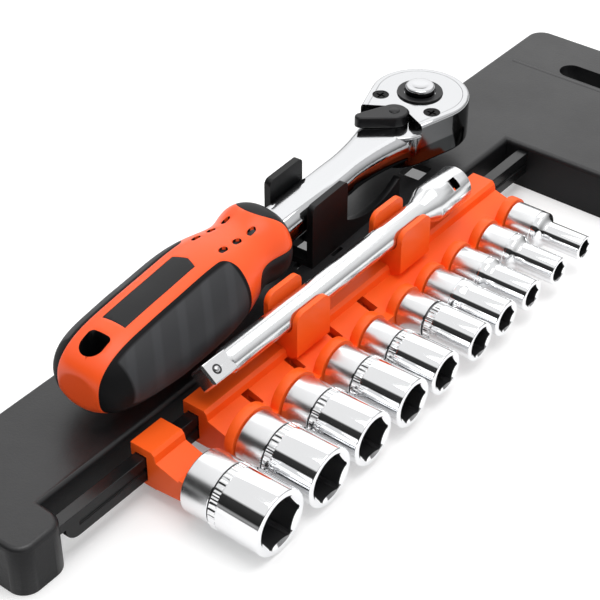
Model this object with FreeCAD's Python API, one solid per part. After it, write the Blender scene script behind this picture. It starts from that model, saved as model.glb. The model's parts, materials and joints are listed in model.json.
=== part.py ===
"""Hanging rack with a quick-release ratchet, an extension bar and ten sockets.

The rack lies on its back: X is the way the sockets point, Y runs along the rail from the
foot to the hanging header, Z is up from the surface that it rests on.  Every length is in
millimetres.  The first socket stands at y = 0 with its drive face at x = 0 while the parts
are drawn, and each part is moved at the end so that the origin is the middle of the hanging
slot in the plane of the back.
"""
import FreeCAD, Part
import math
import os

V = FreeCAD.Vector

# ---- square drive, shared by the sockets, the extension and the ratchet ----
drive_size = 6.35
drive_fit = 0.10
spigot_size = 6.10
spigot_length = 7.0
drive_depth = 8.5
recess_size = drive_size + drive_fit

# ---- sockets: width across flats, diameter of the mouth, step along the rail ----
socket_length = 25.0
socket_sizes = [13.0, 12.0, 11.0, 10.0, 9.0, 8.0, 7.0, 6.0, 5.5, 5.0]
mouth_diameters = [18.7, 17.0, 15.8, 14.6, 13.2, 11.8, 11.1, 9.7, 8.6, 7.7]
station_steps = [20.1, 18.5, 17.8, 15.7, 17.0, 13.4, 13.7, 14.9, 14.7]
drive_end_diameter = 11.8
drive_end_step = 0.8
shoulder_start = 8.6
groove_width = 0.7
groove_depth = 0.45
nose_start = 12.6
nose_taper = 2.2
socket_edge = 0.5
mouth_chamfer = 0.5
mouth_wall = 0.6
bore_wall = 0.3
hex_depth = 12.0
hex_fit = 0.15
socket_axis_height = 10.0

# ---- rack frame ----
frame_height = 15.6
panel_thickness = 2.4
skirt = 2.2
beam_width = 32.0
header_depth = 70.8
header_width = 82.4
header_gap = 30.4
foot_gap = 34.6
foot_depth = 16.0
foot_margin = 1.0
outer_corner = 6.0
foot_corner = 5.0
top_round = 1.6
slot_width = 8.6
slot_length = 38.6
slot_far_margin = 19.8
slot_rim_depth = 3.0
crease_gap = 1.6
crease_width = 1.2
crease_depth = 0.3

# ---- rail ----
rail_thickness = 3.6
rail_height = 7.8
rail_offset = 14.0
rail_groove = 1.4
rail_groove_depth = 0.5
rail_tongue = 5.0
tongue_height = 2.8
rail_end_round = 4.6
rail_fit = 0.05
beam_gap = 4.6
boss_wall = 2.0

# ---- clips on the rail ----
clip_fit = 0.15
clip_width = 11.6
clip_top = 2.7
clip_wall = 2.8
clip_lip = 1.3
clip_lip_drop = 1.6
clip_foot = 1.5
clip_edge = 0.9
web_thickness = 2.2
web_drop_start = 2.9
web_drop_end = 5.1
neck_width = 8.6
plate_depth_x = 3.0
plate_gap = 0.15
spigot_chamfer = 0.6
plate_low = 5.2
collar_rim = 0.7
end_wall = 1.8
strip_slit = 3.0
slit_count = 4
slit_floor = 7.6
slit_reach = 8.6

# ---- extension bar and the hooks that hold it ----
extension_length = 117.0
extension_start = 15.6
extension_diameter = 7.6
extension_lift = 9.05
extension_offset = 13.0
extension_head = 11.8
extension_head_length = 15.5
extension_head_taper = 6.0
extension_square_length = 9.0
extension_turn = 38.0
square_chamfer = 0.6
square_round = 0.5
neck_blend = 0.42
head_chamfer = 1.4
recess_floor = 2.0
socket_window = 3.6
hook_near_setback = 31.9
hook_head_gap = 1.1
hook_length = 14.5
hook_thickness = 1.6
hook_rise_rear = 5.8
hook_rise_front = 3.4
hook_corner = 3.0
hook_fit = 0.35
ball_diameter = 2.4
ball_reach = 0.55
ball_setback = 3.6
ball_fit = 0.05
ball_travel = 0.5
ball_seat = 1.2
spring_wire = 0.35

# ---- ratchet: place and head ----
ratchet_x = -40.5
ratchet_y = 151.5
ratchet_turn = 3.0
handle_lift = 0.6
head_radius = 15.5
neck_radius = 11.6
neck_setback = 13.2
lever_setback = 14.8
head_thickness = 14.0
head_edge = 1.0
shank_width = 12.0
shank_thickness = 9.0
shank_round = 0.72
tang_seat = 0.1
# distance behind the drive axis, half width, extra depth below the shank
shank_sections = [(15.2, 10.6, 1.5), (26.0, 7.9, 0.6), (36.0, 6.3, 0.1), (46.0, 6.0, 0.0), (81.5, 6.0, 0.0)]
handle_front = 80.5
tang_length = 42.0
tang_width = 9.0
tang_thickness = 6.0

# ---- ratchet: works ----
gear_radius = 9.6
gear_tooth = 0.55
gear_teeth = 48
gear_height = 5.8
gear_fit = 0.08
journal_radius = 6.8
plate_thickness = 2.9
plate_margin = 2.2
plate_fit = 0.1
drive_length = 7.2
ring_outer = 7.1
ring_inner = 5.0
ring_proud = 0.6
ring_seat = 0.2
button_radius = 4.6
button_height = 2.2
button_travel = 1.8
button_round = 0.9
button_gap = 0.2
dish_radius = 9.0
dish_depth = 0.4
well_floor_thickness = 1.6
rod_radius = 1.3
rod_bore = 1.45
rod_tip = 1.2
relief_fit = 0.15
spring_length = 4.0
screw_spread = 9.3
screw_setback = 8.1
screw_head_radius = 2.6
screw_head_height = 1.3
screw_shank_radius = 1.2
screw_length = 5.0
screw_slot = 0.7
screw_cross = 1.6
screw_cross_depth = 0.8
screw_sink = 0.2
lever_length = 12.6
lever_root = 4.3
lever_tip = 1.9
lever_thickness = 3.4
lever_gap = 0.2
lever_round = 0.7
lever_rest = -40.0
lever_shaft_radius = 2.4
recess_fit = 0.3
recess_sides = [(4.2, 12.8), (14.0, 18.2), (20.0, 40.0)]
pawl_length = 11.0
pawl_lift = 0.4
pawl_height = 4.2
pawl_thickness = 2.2
pawl_fit = 0.15
pawl_gap = 0.32
pawl_rest = -1.5
pawl_room = 0.6
clip_ring_height = 0.8
clip_ring_width = 1.2

# ---- ratchet: handle ----
handle_drop = 1.6
# distance behind the drive axis, half width, half height, rise of the middle above the handle height
handle_sections = [
    (161.6, 5.4, 4.4, 0.4),
    (160.2, 9.2, 7.2, 0.4),
    (155.5, 12.7, 9.9, 0.6),
    (147.0, 14.5, 11.8, 0.6),
    (131.0, 15.3, 13.2, 0.4),
    (116.0, 15.3, 13.6, 0.9),
    (107.0, 14.2, 12.8, 1.2),
    (99.5, 12.2, 11.3, 1.5),
    (93.5, 11.3, 10.9, 1.9),
    (87.0, 12.2, 12.0, 2.2),
    (83.0, 10.2, 10.1, 2.1),
    (80.5, 8.0, 7.9, 1.8),
]
grip_skin = 2.2
grip_inner = 6.8
grip_end = 107.6
grip_corner = 4.5
plate_start = 146.5
plate_end = 116.6
plate_half_width = 3.8
plate_depth = 1.2
plate_nose = 1.4
plate_nose_side = 0.4
hole_start = 158.2
hole_end = 151.0
hole_half_width = 3.5
hole_corner = 1.4
collar_length = 2.0
collar_crown = 9.0
collar_skin = 1.8
collar_reach = 20.8
collar_rise = 4.4
collar_corner = 3.5
# distance behind the drive axis and to the side of each dent
dents_at = [(94.2, 4.4), (100.7, 4.4), (107.0, 4.6)]
dent_length = 3.4
dent_width = 1.6
dent_round = 0.75
dent_depth = 0.9

# ---- bracket that holds the ratchet on the beam ----
bracket_plate = 1.8
# distance behind the drive axis where each jaw starts and ends
near_jaw = (53.0, 70.8)
far_jaw = (54.5, 70.5)
jaw_thickness = 2.1
jaw_gap = 0.5
near_jaw_rise = 1.9
far_jaw_rise = 5.1
jaw_round = 1.8
saddle_wall = 2.4
saddle_gap = 0.3
cradle_end = 24.0
cradle_wall = 2.2
cradle_rise = 9.5
cradle_sweep = 30.0
# sides across the ratchet, then distances behind the drive axis
window_inner = (-3.5, 5.6, 58.0, 66.4)
window_slot = (3.0, 4.9, 69.8, 73.4)
window_outer = (8.9, 10.1, 57.0, 62.0)
window_head = (2.0, 9.0, 5.5, 13.5)

# ---- derived places ----
station_y = [0.0]
for step in station_steps:
    station_y.append(station_y[-1] + step)
rail_right = -rail_offset
rail_left = rail_right - rail_thickness
rail_low = socket_axis_height - rail_height / 2.0 - 0.4
rail_high = rail_low + rail_height
beam_right = rail_left - beam_gap
beam_left = beam_right - beam_width
header_front = station_y[-1] + header_gap
header_far = header_front + header_depth
header_right = beam_left + header_width
foot_front = -foot_gap
foot_back = foot_front - foot_depth
foot_right = rail_right + foot_margin
slot_x = (beam_left + header_right) / 2.0
slot_y = header_far - slot_far_margin
panel_under = frame_height - panel_thickness
origin = V(slot_x, slot_y, 0)
clip_high = rail_high + clip_fit + clip_top
clip_right = rail_right + clip_fit + clip_wall
clip_low = rail_low - clip_fit - clip_foot
web_start = clip_high - web_drop_start
web_end = clip_high - web_drop_end
strip_start = station_y[1] - clip_width / 2.0
strip_end = station_y[-1] + clip_width / 2.0
extension_x = -extension_offset
extension_taper_start = extension_start + extension_length - extension_head_length - extension_head_taper
hook_near_start = extension_start + hook_near_setback
hook_far_start = extension_taper_start - hook_head_gap - hook_length
extension_height = clip_high + extension_lift
handle_deepest = max(half_height - rise for w, half_width, half_height, rise in handle_sections)
handle_height = frame_height + handle_lift + handle_deepest
ratchet_height = handle_height + handle_drop
head_top = ratchet_height + head_thickness / 2.0
head_bottom = ratchet_height - head_thickness / 2.0
plate_seat = head_top - plate_thickness
gear_top = plate_seat - gear_fit
gear_bottom = gear_top - gear_height
pawl_low = gear_bottom + pawl_lift
pawl_high = pawl_low + pawl_height
shank_top = plate_seat
shank_bottom = shank_top - shank_thickness
ball_z = head_bottom - drive_length + ball_setback
well_floor = gear_bottom + well_floor_thickness
rod_end = head_bottom - drive_length + rod_tip
span = header_far - foot_back


# ---- small shape helpers ----
def box(x0, x1, y0, y1, z0, z1):
    """Block between two corners."""
    return Part.makeBox(x1 - x0, y1 - y0, z1 - z0, V(x0, y0, z0))


def rod(radius, length, base, axis):
    """Round bar from a base point along an axis."""
    return Part.makeCylinder(radius, length, base, axis)


def cone(radius_a, radius_b, length, base, axis):
    """Tapered round bar."""
    return Part.makeCone(radius_a, radius_b, length, base, axis)


def prism(points, z0, z1):
    """Upright prism over a closed outline of (x, y) points."""
    corners = [V(x, y, z0) for x, y in points]
    face = Part.Face(Part.makePolygon(corners + [corners[0]]))
    return face.extrude(V(0, 0, z1 - z0))


def profile_along_y(points, y0, y1):
    """Bar along Y with a closed outline of (x, z) points."""
    corners = [V(x, y0, z) for x, z in points]
    face = Part.Face(Part.makePolygon(corners + [corners[0]]))
    return face.extrude(V(0, y1 - y0, 0))


def turned_about_x(points, y, z):
    """Solid of revolution about a line along X from (x, radius) points."""
    corners = [V(x, y, z + r) for x, r in points]
    face = Part.Face(Part.makePolygon(corners + [corners[0]]))
    return face.revolve(V(0, y, z), V(1, 0, 0), 360)


def regular(count, across, base):
    """Regular outline in the YZ plane, measured across its flats."""
    radius = across / 2.0 / math.cos(math.pi / count)
    points = []
    for i in range(count):
        angle = 2.0 * math.pi * i / count
        points.append(V(base.x, base.y + radius * math.cos(angle), base.z + radius * math.sin(angle)))
    return Part.Face(Part.makePolygon(points + [points[0]]))


def union(shapes):
    """Join shapes and drop the seams between them."""
    joined = shapes[0]
    if len(shapes) > 1:
        joined = joined.fuse(shapes[1:])
    return joined.removeSplitter()


def edges_where(shape, test):
    """Edges whose middle point and direction pass a test."""
    found = []
    for edge in shape.Edges:
        middle = edge.valueAt((edge.FirstParameter + edge.LastParameter) / 2.0)
        if test(edge, middle):
            found.append(edge)
    return found


def upright(edge):
    """True for a straight edge along Z."""
    a = edge.Vertexes[0].Point
    b = edge.Vertexes[-1].Point
    return abs(a.x - b.x) < 1e-6 and abs(a.y - b.y) < 1e-6 and abs(a.z - b.z) > 1e-6


def round_corner(shape, x, y, radius):
    """Round the upright edge that stands at (x, y)."""
    picked = edges_where(shape, lambda e, m: upright(e) and abs(m.x - x) < 1e-3 and abs(m.y - y) < 1e-3)
    return shape.makeFillet(radius, picked)


def obround(cx, cy, length, width, z0, z1):
    """Slot with round ends, long way along X."""
    half = (length - width) / 2.0
    middle = box(cx - half, cx + half, cy - width / 2.0, cy + width / 2.0, z0, z1)
    left = rod(width / 2.0, z1 - z0, V(cx - half, cy, z0), V(0, 0, 1))
    right = rod(width / 2.0, z1 - z0, V(cx + half, cy, z0), V(0, 0, 1))
    return union([middle, left, right])


def save(name, shape):
    """Move a finished part to the origin and write it."""
    placed = shape.copy()
    placed.translate(origin.negative())
    placed.exportStep("parts/%s.step" % name)


# ---- ratchet frame: u across, w towards the head, drive axis at 0, 0 ----
def in_ratchet(shape):
    """Put a shape drawn about the drive axis into its place over the beam."""
    placed = shape.copy()
    placed.rotate(V(0, 0, 0), V(0, 0, 1), ratchet_turn)
    placed.translate(V(ratchet_x, ratchet_y, 0))
    return placed


# ---- rack frame ----
def frame_outline():
    """Outer block of the frame before it is hollowed."""
    header = box(beam_left, header_right, header_front, header_far, 0, frame_height)
    beam = box(beam_left, beam_right, foot_back, header_far, 0, frame_height)
    foot = box(beam_left, foot_right, foot_back, foot_front, 0, frame_height)
    shape = union([header, beam, foot])
    shape = round_corner(shape, beam_left, header_far, outer_corner)
    shape = round_corner(shape, header_right, header_far, outer_corner)
    shape = round_corner(shape, header_right, header_front, outer_corner)
    shape = round_corner(shape, beam_left, foot_back, outer_corner)
    shape = round_corner(shape, foot_right, foot_back, foot_corner)
    shape = round_corner(shape, foot_right, foot_front, foot_corner)
    return shape.makeFillet(top_round, edges_where(shape, lambda e, m: abs(m.z - frame_height) < 1e-6))


def frame_pocket():
    """Space under the panel."""
    header = box(beam_left + skirt, header_right - skirt, header_front + skirt, header_far - skirt,
                 -1, panel_under)
    beam = box(beam_left + skirt, beam_right - skirt, foot_back + skirt, header_far - skirt,
               -1, panel_under)
    foot = box(beam_left + skirt, foot_right - skirt, foot_back + skirt, foot_front - skirt,
               -1, panel_under)
    pocket = union([header, beam, foot])
    inner = outer_corner - skirt
    pocket = round_corner(pocket, beam_left + skirt, header_far - skirt, inner)
    pocket = round_corner(pocket, header_right - skirt, header_far - skirt, inner)
    pocket = round_corner(pocket, header_right - skirt, header_front + skirt, inner)
    pocket = round_corner(pocket, beam_left + skirt, foot_back + skirt, inner)
    pocket = round_corner(pocket, foot_right - skirt, foot_back + skirt, foot_corner - skirt)
    pocket = round_corner(pocket, foot_right - skirt, foot_front - skirt, foot_corner - skirt)
    return pocket


def rail_boss(y0, y1):
    """Block under the panel that takes a tongue of the rail."""
    return box(rail_left - boss_wall, rail_right + boss_wall, y0, y1, rail_low - boss_wall, panel_under)


def rail_sockets():
    """Room that the two tongues of the rail need."""
    low = rail_high - tongue_height - rail_fit
    high = rail_high + rail_fit
    left = rail_left - rail_fit
    right = rail_right + rail_fit
    header = box(left, right, header_front - 1, header_front + rail_tongue + rail_fit, low, high)
    foot = box(left, right, foot_front - rail_tongue - rail_fit, foot_front + 1, low, high)
    return [header, foot]


def beam_windows():
    """Openings through the beam around the bracket's jaws and under the head."""
    windows = []
    for u0, u1, near, far in (window_inner, window_slot, window_outer, window_head):
        windows.append(in_ratchet(box(u0, u1, -far, -near, 0, frame_height + 1)))
    return windows


def rack_frame():
    """Panel with its skirts, the header with its hanging slot and the foot."""
    shape = frame_outline().cut(frame_pocket())
    header_boss = rail_boss(header_front + skirt / 2.0, header_front + rail_tongue + boss_wall)
    foot_boss = rail_boss(foot_front - rail_tongue - boss_wall, foot_front - skirt / 2.0)
    foot_boss = foot_boss.common(frame_outline())
    shape = union([shape, header_boss, foot_boss])
    slot = obround(slot_x, slot_y, slot_length, slot_width, -1, frame_height + 1)
    rim = obround(slot_x, slot_y, slot_length + 2 * skirt, slot_width + 2 * skirt,
                  panel_under - slot_rim_depth, panel_under)
    shape = union([shape, rim])
    crease_y = slot_y - slot_width / 2.0 - crease_gap
    crease = box(beam_left + outer_corner, header_right - outer_corner, crease_y - crease_width / 2.0,
                 crease_y + crease_width / 2.0, frame_height - crease_depth, frame_height + 1)
    return shape.cut([slot, crease] + rail_sockets() + beam_windows())


def socket_rail():
    """Bar that the clips slide on, with a groove in each side and a tongue at each end."""
    y0 = foot_front - rail_tongue
    y1 = header_front + rail_tongue
    bar = box(rail_left, rail_right, foot_front, header_front, rail_low, rail_high)
    tongues = box(rail_left, rail_right, y0, y1, rail_high - tongue_height, rail_high)
    shape = union([bar, tongues])
    middle = (rail_low + rail_high) / 2.0
    half = rail_groove / 2.0
    left = box(rail_left - 1, rail_left + rail_groove_depth, foot_front + rail_end_round, header_front,
               middle - half, middle + half)
    right = box(rail_right - rail_groove_depth, rail_right + 1, foot_front + rail_end_round, header_front,
                middle - half, middle + half)
    shape = shape.cut([left, right])
    lower = edges_where(shape, lambda e, m: abs(m.z - rail_low) < 1e-6 and abs(m.y - foot_front) < 1e-6)
    return shape.makeFillet(rail_end_round, lower)


# ---- clips ----
def clip_profile(y0, y1):
    """Hook that wraps the rail, with a web that slopes down to the sockets."""
    inner_left = rail_left - clip_fit
    inner_right = rail_right + clip_fit
    inner_top = rail_high + clip_fit
    inner_low = rail_low - clip_fit
    foot_end = inner_left + rail_thickness / 2.0
    points = [
        (inner_left - clip_lip, inner_top - clip_lip_drop),
        (inner_left, inner_top - clip_lip_drop),
        (inner_left, inner_top),
        (inner_right, inner_top),
        (inner_right, inner_low),
        (foot_end, inner_low),
        (foot_end, clip_low),
        (clip_right, clip_low),
        (clip_right, web_start - web_thickness),
        (-plate_depth_x, web_end - web_thickness),
        (-plate_depth_x, web_end),
        (clip_right + clip_edge / 2.0, web_start),
        (clip_right, clip_high - clip_edge),
        (clip_right - clip_edge, clip_high),
        (inner_left - clip_lip, clip_high),
    ]
    return profile_along_y(points, y0, y1)


def web_block(y0, y1):
    """Solid part under the web between two places along the rail."""
    points = [
        (clip_right - clip_wall / 2.0, clip_low),
        (-plate_depth_x / 2.0, plate_low),
        (-plate_depth_x / 2.0, web_end),
        (-plate_depth_x, web_end),
        (clip_right - clip_wall / 2.0, web_start),
    ]
    return profile_along_y(points, y0, y1)


def drive_end_of(index):
    """Diameter of a socket at its drive end."""
    return max(mouth_diameters[index] - drive_end_step, drive_end_diameter)


def spigot(index):
    """Square spigot that enters a socket, with its neck behind it."""
    y = station_y[index]
    half = spigot_size / 2.0
    square = box(-plate_depth_x, spigot_length, y - half, y + half, socket_axis_height - half,
                 socket_axis_height + half)
    tip = edges_where(square, lambda e, m: abs(m.x - spigot_length) < 1e-6)
    return [square.makeChamfer(spigot_chamfer, tip), web_block(y - neck_width / 2.0, y + neck_width / 2.0)]


def collar(index):
    """Round collar behind the drive end of a socket."""
    y = station_y[index]
    radius = drive_end_of(index) / 2.0 + collar_rim
    disc = rod(radius, plate_depth_x - plate_gap, V(-plate_depth_x, y, socket_axis_height), V(1, 0, 0))
    below = box(-plate_depth_x - 1, 1, y - 2 * radius, y + 2 * radius, 0, plate_low)
    return disc.cut(below)


def end_clip():
    """Separate clip of the largest socket."""
    y0 = station_y[0] - clip_width / 2.0
    y1 = station_y[0] + clip_width / 2.0
    grip = clip_profile(y0, y1)
    front = box(-plate_depth_x - plate_gap, -plate_gap, y0, y1, plate_low, web_end + clip_edge)
    return union([grip, web_block(y0, y1), front] + spigot(0))


def hook_wall(x0, x1, y0, y1, z0, z1):
    """Upright wall with its two upper corners rounded."""
    wall = box(x0, x1, y0, y1, z0, z1)
    corners = edges_where(wall, lambda e, m: abs(m.z - z1) < 1e-6 and abs(m.x - (x0 + x1) / 2.0) < 1e-6)
    return wall.makeFillet(hook_corner, corners)


def hook_pair(y0):
    """Saddle and two upright hooks that hold the extension bar."""
    y1 = y0 + hook_length
    radius = extension_diameter / 2.0 + hook_fit
    left = extension_x - radius - hook_thickness
    right = extension_x + radius + hook_thickness
    base = clip_high - clip_top / 2.0
    block = box(left, right, y0, y1, base, extension_height)
    rear = hook_wall(left, extension_x - radius, y0, y1, base, extension_height + hook_rise_rear)
    front = hook_wall(extension_x + radius, right, y0, y1, base, extension_height + hook_rise_front)
    root = profile_along_y([
        (clip_right - clip_edge, base - clip_top), (right, base), (right, base + 2 * clip_edge),
        (clip_right - clip_edge, base + clip_top),
    ], y0, y1)
    bore = rod(radius, hook_length + 2, V(extension_x, y0 - 1, extension_height), V(0, 1, 0))
    mouth = box(extension_x - radius, extension_x + radius, y0 - 1, y1 + 1, extension_height,
                extension_height + 2 * extension_diameter)
    return union([block, rear, front, root]).cut([bore, mouth])


def clip_strip():
    """Strip of nine stations with slits between them and the hooks for the extension."""
    front = box(-plate_depth_x - plate_gap, -plate_gap, strip_start, strip_end, plate_low, web_end)
    pieces = [clip_profile(strip_start, strip_end), front]
    pieces.append(web_block(strip_start, strip_start + end_wall))
    pieces.append(web_block(strip_end - end_wall, strip_end))
    for index in range(1, len(station_y)):
        pieces += spigot(index)
        pieces.append(collar(index))
    for start in (hook_near_start, hook_far_start):
        pieces.append(hook_pair(start))
    shape = union(pieces)
    slits = []
    for index in range(1, 1 + slit_count):
        middle = (station_y[index] + station_y[index + 1]) / 2.0
        slits.append(box(rail_right + clip_fit, rail_right + slit_reach, middle - strip_slit / 2.0,
                         middle + strip_slit / 2.0, slit_floor, clip_high - clip_top))
    return shape.cut(slits)


# ---- sockets ----
def socket_shape(index):
    """Chrome socket: square recess at the drive end, hexagon at the mouth."""
    y = station_y[index]
    z = socket_axis_height
    mouth = mouth_diameters[index] / 2.0
    drive = drive_end_of(index) / 2.0
    edge = socket_edge
    if mouth_diameters[index] >= drive_end_diameter:
        outline = [
            (0, drive - edge), (edge, drive), (shoulder_start, drive),
            (shoulder_start, drive - groove_depth), (shoulder_start + groove_width, drive - groove_depth),
            (shoulder_start + groove_width, mouth), (socket_length - edge, mouth),
            (socket_length, mouth - edge),
        ]
    else:
        outline = [
            (0, drive - edge), (edge, drive), (nose_start - nose_taper, drive),
            (nose_start - nose_taper / 2.0, (drive * 2.0 + mouth) / 3.0), (nose_start, mouth),
            (socket_length - edge, mouth), (socket_length, mouth - edge),
        ]
    body = turned_about_x([(0, 0)] + outline + [(socket_length, 0)], y, z)
    flats = socket_sizes[index] + hex_fit
    hexagon = regular(6, flats, V(socket_length - hex_depth, y, z)).extrude(V(hex_depth + 1, 0, 0))
    corner = flats / 2.0 / math.cos(math.pi / 6.0)
    relief = min(corner, mouth - mouth_wall)
    chamfer = cone(relief - mouth_chamfer, relief, mouth_chamfer,
                   V(socket_length - mouth_chamfer, y, z), V(1, 0, 0))
    half = recess_size / 2.0
    square = box(-1, drive_depth, y - half, y + half, z - half, z + half)
    through = rod(min(flats, spigot_size) / 2.0 - bore_wall, socket_length, V(0, y, z), V(1, 0, 0))
    return body.cut([hexagon, chamfer, square, through]).removeSplitter()


# ---- extension bar ----
def turned_about_y(points, x, z):
    """Solid of revolution about a line along Y from (y, radius) points."""
    corners = [V(x + r, y, z) for y, r in points]
    face = Part.Face(Part.makePolygon(corners + [corners[0]]))
    return face.revolve(V(x, 0, z), V(0, 1, 0), 360)


def turn_extension(shape):
    """Turn a detail about the bar's own axis to where its flats stand."""
    placed = shape.copy()
    placed.rotate(V(extension_x, 0, extension_height), V(0, 1, 0), extension_turn)
    return placed


def extension_bar():
    """Bar with a square at one end and a square socket at the other."""
    y0 = extension_start
    y1 = y0 + extension_length
    shaft = extension_diameter / 2.0
    head = extension_head / 2.0
    square_end = y0 + extension_square_length
    head_start = y1 - extension_head_length
    outline = [
        (square_end - square_chamfer, 0), (square_end - square_chamfer, drive_size / 2.0 - drive_fit),
        (square_end + square_chamfer, shaft),
        (head_start - extension_head_taper, shaft),
        (head_start - extension_head_taper / 2.0, shaft + (head - shaft) * neck_blend),
        (head_start, head), (y1 - head_chamfer, head), (y1, head - head_chamfer), (y1, 0),
    ]
    body = turned_about_y(outline, extension_x, extension_height)
    half = drive_size / 2.0
    square = box(extension_x - half, extension_x + half, y0, square_end, extension_height - half,
                 extension_height + half)
    nose = edges_where(square, lambda e, m: abs(m.y - y0) < 1e-6)
    square = square.makeChamfer(square_chamfer, nose)
    long_way = extension_square_length / 2.0
    corners = edges_where(square, lambda e, m: abs(e.Vertexes[0].Point.y - e.Vertexes[-1].Point.y) > long_way)
    square = square.makeFillet(square_round, corners)
    shape = union([body, turn_extension(square)])
    gap = recess_size / 2.0
    recess = box(extension_x - gap, extension_x + gap, y1 - drive_depth - recess_floor, y1 + 1,
                 extension_height - gap, extension_height + gap)
    deep = y1 - drive_depth - recess_floor
    side = socket_window / 2.0
    low = deep + recess_floor / 2.0
    window = box(extension_x - side, extension_x + side, low, low + socket_window,
                 extension_height, extension_height + extension_head)
    ball_y = y0 + ball_setback
    seat = rod(ball_diameter / 2.0 + ball_fit, ball_seat + half + 1,
               V(extension_x, ball_y, extension_height - ball_seat), V(0, 0, 1))
    cuts = [turn_extension(s) for s in (recess, window, seat)]
    return shape.cut(cuts)


def extension_ball():
    """Detent ball in the square."""
    z = extension_height + drive_size / 2.0 + ball_reach - ball_diameter / 2.0
    ball = Part.makeSphere(ball_diameter / 2.0, V(extension_x, extension_start + ball_setback, z))
    return turn_extension(ball)


def sleeve(outer, inner, base, length):
    """Plain sleeve standing in for a coil spring."""
    return rod(outer, length, base, V(0, 0, 1)).cut(rod(inner, length, base, V(0, 0, 1)))


def extension_ball_spring():
    """Spring under the detent ball."""
    low = extension_height - ball_seat
    top = extension_height + drive_size / 2.0 + ball_reach - ball_diameter - ball_travel - ball_fit
    base = V(extension_x, extension_start + ball_setback, low)
    outer = ball_diameter / 2.0 - ball_fit
    return turn_extension(sleeve(outer, outer - spring_wire, base, top - low))


# ---- ratchet head ----
def head_outline(grow, z0, z1):
    """Teardrop plan of the head between two heights."""
    big = rod(head_radius + grow, z1 - z0, V(0, 0, z0), V(0, 0, 1))
    small = rod(neck_radius + grow, z1 - z0, V(0, -neck_setback, z0), V(0, 0, 1))
    slope = math.asin((head_radius - neck_radius) / neck_setback)
    c = math.cos(slope)
    s = math.sin(slope)
    big_r = head_radius + grow
    small_r = neck_radius + grow
    web = prism([
        (big_r * c, -big_r * s), (-big_r * c, -big_r * s),
        (-small_r * c, -neck_setback - small_r * s), (small_r * c, -neck_setback - small_r * s),
    ], z0, z1)
    return union([big, small, web])


def rounded_section(w, a, low, high):
    """Rounded rectangle across the shank at a distance along it."""
    z = (low + high) / 2.0
    b = (high - low) / 2.0
    radius = min(a, b) * shank_round
    corner = radius * (1.0 - math.sqrt(0.5))
    spots = [(1, 1), (-1, 1), (-1, -1), (1, -1)]
    lines = []
    for i, (su, sz) in enumerate(spots):
        side = V(su * a, w, z + sz * (b - radius))
        flat = V(su * (a - radius), w, z + sz * b)
        start, end = (side, flat) if su * sz > 0 else (flat, side)
        middle = V(su * (a - corner), w, z + sz * (b - corner))
        lines.append(Part.Arc(start, middle, end).toShape())
        nu, nz = spots[(i + 1) % len(spots)]
        if nu * nz > 0:
            following = V(nu * a, w, z + nz * (b - radius))
        else:
            following = V(nu * (a - radius), w, z + nz * b)
        lines.append(Part.makeLine(end, following))
    return Part.Wire(lines)


def tang():
    """Flat tongue of the shank inside the handle."""
    half = tang_width / 2.0
    middle = (shank_top + shank_bottom) / 2.0
    thick = tang_thickness / 2.0
    return box(-half, half, -handle_front - tang_length, -handle_front + tang_seat, middle - thick,
               middle + thick)


def shank():
    """Forged bar from the head to its tang in the handle."""
    wires = [rounded_section(-w, a, shank_bottom - extra, shank_top) for w, a, extra in shank_sections]
    throat = Part.makeLoft(wires[:-1], True, False)
    straight = Part.makeLoft(wires[-2:], True, True)
    return [throat, straight, tang()]


def lever_recess():
    """Lowered area around the lever."""
    hub = rod(lever_root + recess_fit, plate_thickness + 2, V(0, -lever_setback, plate_seat), V(0, 0, 1))
    right = [(u, -w) for u, w in recess_sides]
    left = [(-u, -w) for u, w in reversed(recess_sides)]
    return union([hub, prism(right + left, plate_seat, head_top + 2)])


def pawl_ring(grow, low, high):
    """Arc of metal behind the gear between two heights."""
    inner = gear_radius + pawl_gap - grow
    outer = gear_radius + pawl_gap + pawl_thickness + grow
    half = pawl_length / 2.0 + grow
    ring = sleeve(outer, inner, V(0, 0, low), high - low)
    return ring.common(box(-half, half, -outer - 1, 0, low, high))


def ratchet_body():
    """Head with its gear chamber, shank and tang, in one forging."""
    lower = head_outline(0, head_bottom, plate_seat)
    rims = edges_where(lower, lambda e, m: abs(m.z - plate_seat) < 1e-6 or abs(m.z - head_bottom) < 1e-6)
    lower = lower.makeFillet(head_edge, rims)
    upper = head_outline(0, plate_seat - 2 * head_edge, head_top)
    rims = edges_where(upper, lambda e, m: abs(m.z - head_top) < 1e-6)
    upper = upper.makeFillet(head_edge, rims).cut(lever_recess())
    step = [(u, -w) for u, w in recess_sides] + [(-u, -w) for u, w in reversed(recess_sides)]
    upper = upper.cut(prism(step, head_bottom, head_top + 1))
    shape = union([lower, upper] + shank())
    seat_cut = head_outline(-plate_margin + plate_fit, plate_seat, head_top + 1)
    gear_low = gear_bottom - gear_fit
    chamber = rod(gear_radius + gear_fit, plate_seat - gear_low + 1, V(0, 0, gear_low), V(0, 0, 1))
    journal = rod(journal_radius + gear_fit, head_thickness, V(0, 0, head_bottom - 1), V(0, 0, 1))
    ring_groove = rod(journal_radius + gear_fit + clip_ring_width + plate_fit, clip_ring_height + plate_fit,
                      V(0, 0, gear_low - clip_ring_height - plate_fit), V(0, 0, 1))
    pocket_low = pawl_low - pawl_fit
    pocket_high = pawl_high + pawl_fit
    arc_room = pawl_ring(pawl_room, pocket_low, pocket_high)
    hub_room = rod(lever_shaft_radius + clip_ring_width + pawl_room, pocket_high - pocket_low,
                   V(0, -lever_setback, pocket_low), V(0, 0, 1))
    shaft_room = rod(lever_shaft_radius + gear_fit, plate_seat - gear_low + 1, V(0, -lever_setback, gear_low),
                     V(0, 0, 1))
    cuts = [seat_cut, chamber, journal, ring_groove, arc_room, hub_room, shaft_room]
    for side in (-1, 1):
        cuts += screw_room(side)
    return shape.cut(cuts).removeSplitter()


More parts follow.
